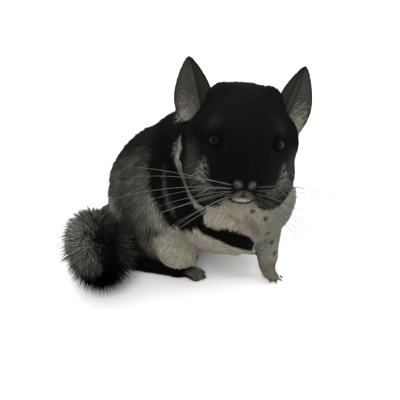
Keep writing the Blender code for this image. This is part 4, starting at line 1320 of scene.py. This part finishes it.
def tube_mesh(name, lines, radii, sides=6, taper=0.85):
    """Round tapering hairs through rows of points, closed at both ends, as one object."""
    points, triangles = [], []
    start = 0
    turn = np.arange(sides) * math.tau / sides
    for line, radius in zip(lines, radii):
        along = unit(np.gradient(line, axis=0))
        side = unit(np.cross(along, (0.13, 0.2, 0.97)))
        up = np.cross(side, along)
        ring = side[:, None] * np.cos(turn)[None, :, None] + up[:, None] * np.sin(turn)[None, :, None]
        thick = radius * (1 - taper * np.linspace(0, 1, len(line)) ** 1.3)
        points.append((line[:, None] + ring * thick[:, None, None]).reshape(-1, 3))
        for i in range(len(line) - 1):
            for k in range(sides):
                a, b = start + i * sides + k, start + i * sides + (k + 1) % sides
                triangles += [(a, b, b + sides), (a, b + sides, a + sides)]
        end = start + (len(line) - 1) * sides
        triangles += [(start, start + k + 1, start + k) for k in range(1, sides - 1)]
        triangles += [(end, end + k, end + k + 1) for k in range(1, sides - 1)]
        start = end + sides
    return raw_mesh(name, np.concatenate(points), np.array(triangles))


WHISKER_ROWS = 5
WHISKERS = 10
WHISKER_RADII = {"right": (0.08, 0.11), "left": (0.14, 0.2)}
JAW_LINE = ((6, -31, -22), (12, -28, -22.5), (18, -24, -20), (23, -21, -15), (25, -19, -9))
JAW_HAIRS = 40
AHEAD = -60  # a place well ahead of the face


def face_point(tree, x, z):
    """The point of the face, in the head's frame, that is seen at a place from ahead."""
    start = to_world(head_to_body([(x, AHEAD, z)]))[0]
    hit = tree.ray_cast(Vector(start), Vector(head_way_to_body((0, 1, 0))))
    return body_to_head(to_body(hit[0]))


def hair_line(root, way, length, bend, sunk, count):
    """A bent line that starts a little below the skin."""
    t = np.linspace(0, 1, count)[:, None]
    return head_to_body(root - way * sunk + way * (length * t) + bend * length * t**2)


def make_whiskers(side, word, material, tree):
    """The whiskers of one side: long stiff hairs that fan out from the pad and bend down and back."""
    draw = np.random.default_rng(SEED + 40 + side)
    lines, radii = [], []
    for number in range(WHISKERS):
        row, column = number % WHISKER_ROWS, number // WHISKER_ROWS
        x = side * (6.5 + 1.5 * column + draw.uniform(-0.4, 0.4))
        root = face_point(tree, x, -9.5 - 2.0 * row + draw.uniform(-0.4, 0.4))
        length = draw.uniform(46, 84) * (1 - 0.07 * row)
        back = -0.5 + 0.16 * column + draw.uniform(-0.1, 0.1)
        way = unit(np.array((side, back, 0.42 - 0.2 * row + draw.uniform(-0.1, 0.1))))
        bend = np.array((side * -0.05, 0.3, -0.32 + draw.uniform(-0.1, 0.1)))
        lines.append(hair_line(root, way, length, bend, 0.6, 12))
        radii.append(draw.uniform(*WHISKER_RADII[word]))
    piece = tube_mesh(f"whisker_hairs_{word}", lines, radii, sides=5, taper=0.7)
    dress(piece, material, "whisker", f"whiskers_{word}")


def jaw_hairs(side, word, material, tree):
    """Fine pale hairs that stand off the lower edge of the cheek, outwards and down."""
    draw = np.random.default_rng(SEED + 60 + side)
    run = spline(JAW_LINE, 10)
    lines = []
    for _ in range(JAW_HAIRS):
        x, _, z = run[draw.integers(len(run))] * (side, 1, 1) + draw.normal(0, 1.1, 3)
        way = unit(sided(side, (1, -0.25, -0.55)) + 0.15 * draw.normal(size=3))
        bend = np.array((0, 0.25, -0.2))
        lines.append(hair_line(face_point(tree, x, z), way, draw.uniform(5, 11), bend, 0.4, 7))
    piece = tube_mesh(f"jaw_hairs_{word}", lines, draw.uniform(0.055, 0.09, len(lines)), sides=4)
    dress(piece, material, "whisker")


def make_eye(side, word, material):
    """An eyeball with a slightly raised cornea."""
    centre, axes = eye_axes(side)
    form = bmesh.new()
    bmesh.ops.create_uvsphere(form, u_segments=48, v_segments=32, radius=EYE_RADIUS)
    for vert in form.verts:
        spot = np.array(vert.co)
        if spot[2] > 0:
            spot[2] += CORNEA_RISE * math.exp(-((spot[0] ** 2 + spot[1] ** 2) / CORNEA_WIDTH**2))
        vert.co = Vector(to_world(head_to_body(centre + spot @ axes)))
    bmesh.ops.recalc_face_normals(form, faces=form.faces)
    mesh = mesh_of(form, f"eyeball_{word}")
    mesh.shade_smooth()
    dress(link(f"eyeball_{word}", mesh), material, "eye", f"eye_{word}")


def make_lids(side, word, material):
    """The wet dark rim of an eye's lids."""
    centre, axes = eye_axes(side)
    turn = np.linspace(0, math.tau, 49)[:-1]
    ring = np.column_stack((EYE_OPENING[0] * np.cos(turn), EYE_OPENING[1] * np.sin(turn)))
    height = np.sqrt(np.maximum((EYE_RADIUS + RIM_LIFT) ** 2 - (ring**2).sum(1), 0.5))
    middle = np.column_stack((ring, height))
    out = unit(middle)
    side_way = unit(np.cross(out, unit(np.roll(middle, -1, 0) - middle)))
    sides = 10
    points = []
    for angle in np.arange(sides) * math.tau / sides:
        spots = out * (RIM_HEIGHT * math.sin(angle)) + side_way * (RIM_WIDTH * math.cos(angle))
        points.append(middle + spots)
    points = np.stack(points, 1).reshape(-1, 3)
    triangles = []
    for i in range(len(turn)):
        here, there = i * sides, (i + 1) % len(turn) * sides
        for k in range(sides):
            after = (k + 1) % sides
            triangles += [(here + k, here + after, there + after), (here + k, there + after, there + k)]
    rim = raw_mesh(f"lids_{word}", head_to_body(centre + points @ axes), np.array(triangles))
    turn_out(rim.data)
    dress(rim, material, "dark_fur")


def make_claws(material):
    """A small bent claw at the end of each toe."""
    for name, _, place, lines, thick, _, _ in feet():
        length = 0.8 * thick + 0.7
        hairs = []
        for _, way, _, tip in lines:
            start = tip - way * (0.5 * thick) + Vector((0, 0, 0.35 * thick))
            drops = [(t, Vector((0, 0, -0.42 * length * t * t))) for t in np.arange(7) / 6]
            hairs.append(np.array([place @ (start + way * (length * t) + drop) for t, drop in drops]))
        claws = tube_mesh(f"claws_{name}", hairs, [0.3 * thick] * len(hairs), sides=10)
        points = places_of(claws.data)
        if points[:, 2].min() < 0:
            points[:, 2] = np.maximum(points[:, 2], CLAW_FLOOR * MM)
            put(claws.data, points)
        dress(claws, material, "dark_fur")


# The lamps: place, size, power and colour.
LAMPS = {
    "key": ((-0.75, -0.75, 1.05), 0.55, 15.0, (1.0, 0.98, 0.95)),
    "fill": ((0.85, -0.7, 0.6), 0.7, 6.0, (0.95, 0.97, 1.0)),
    "back": ((0.2, 0.95, 0.9), 0.6, 8.0, (1.0, 1.0, 1.0)),
}
LAMP_AIM = (0, 0, 0.06)
SKY_POWER = 0.95
FLOOR_SIZE = 6.0
FLOOR_COLOUR = (0.86, 0.86, 0.87, 1)
CAMERA_PLACE = (-244.7, -291.6, 232.5)
CAMERA_TURN = 40
CAMERA_RISE = 25
CAMERA_LENS = 63.27


def aim(thing, way):
    thing.rotation_euler = way.to_track_quat("-Z", "Y").to_euler()


def make_stage():
    """A pale floor, a soft sky and large soft lamps, and the camera at the photograph's angle."""
    scene = bpy.context.scene
    form = bmesh.new()
    bmesh.ops.create_grid(form, x_segments=1, y_segments=1, size=FLOOR_SIZE)
    floor = link("floor", mesh_of(form, "floor"))
    pale = bpy.data.materials.new("floor_pale")
    pale.use_nodes = True
    shader = pale.node_tree.nodes["Principled BSDF"]
    shader.inputs["Base Color"].default_value = FLOOR_COLOUR
    shader.inputs["Roughness"].default_value = 0.9
    shader.inputs["Specular IOR Level"].default_value = 0.1
    floor.data.materials.append(pale)
    scene.world = bpy.data.worlds.new("sky")
    scene.world.use_nodes = True
    sky = scene.world.node_tree.nodes["Background"]
    sky.inputs["Color"].default_value = (1, 1, 1, 1)
    sky.inputs["Strength"].default_value = SKY_POWER
    for name, (place, size, power, tint) in LAMPS.items():
        lamp = bpy.data.lights.new(name, "AREA")
        lamp.size = size
        lamp.energy = power
        lamp.color = tint
        thing = link(name, lamp)
        thing.location = place
        aim(thing, Vector(LAMP_AIM) - Vector(place))
    eye = bpy.data.cameras.new("camera")
    eye.sensor_width = 36
    eye.lens = CAMERA_LENS
    eye.clip_start = 0.01
    camera = link("camera", eye)
    camera.location = to_world(CAMERA_PLACE)
    turn, rise = math.radians(CAMERA_TURN), math.radians(CAMERA_RISE)
    aim(camera, Vector((math.sin(turn) * math.cos(rise), math.cos(turn) * math.cos(rise), -math.sin(rise))))
    scene.camera = camera
    scene.view_settings.view_transform = "Standard"


def main():
    make_stage()
    skin = make_skin()
    set_colours(skin.data, markings(to_body(places_of(skin.data))) * 0.7)
    flesh = surface("skin", 0.8, 0.03, gain=0.72, grain=0.25, grain_size=700, bump=0.5)
    dress(skin, flesh, "grey_fur", "head", *FLESH, *FEET)
    coat = surface("coat", 0.8, 0.03, gain=0.72, grain=0.12, grain_size=1500)
    ear_skin = surface("ear_skin", 0.6, 0.12, gain=0.75, grain=0.15, grain_size=1200, bump=0.3)
    whiskers = {
        "right": surface("whisker_pale", 0.5, 0.1, colour=(112, 111, 106)),
        "left": surface("whisker_grey", 0.5, 0.1, colour=(58, 57, 54)),
    }
    jaw = surface("jaw_hair", 0.5, 0.1, colour=(108, 107, 102))
    eye = surface("eye", 0.1, 0.05, grain=0.2, grain_size=300, colour=(4, 5, 6))
    lid = surface("lid", 0.7, 0.04, grain=0.2, colour=(7, 7, 8))
    claw = surface("claw", 0.4, 0.25, grain=0.2, colour=(20, 16, 14))
    tree = BVHTree.FromObject(skin, bpy.context.evaluated_depsgraph_get())
    short_coat(skin, coat)
    collar(tree, coat)
    tail_brush(coat)
    for side, word in SIDES:
        make_ear(side, word, ear_skin, coat)
        make_eye(side, word, eye)
        make_lids(side, word, lid)
        make_whiskers(side, word, whiskers[word], tree)
        jaw_hairs(side, word, jaw, tree)
    make_claws(claw)


main()
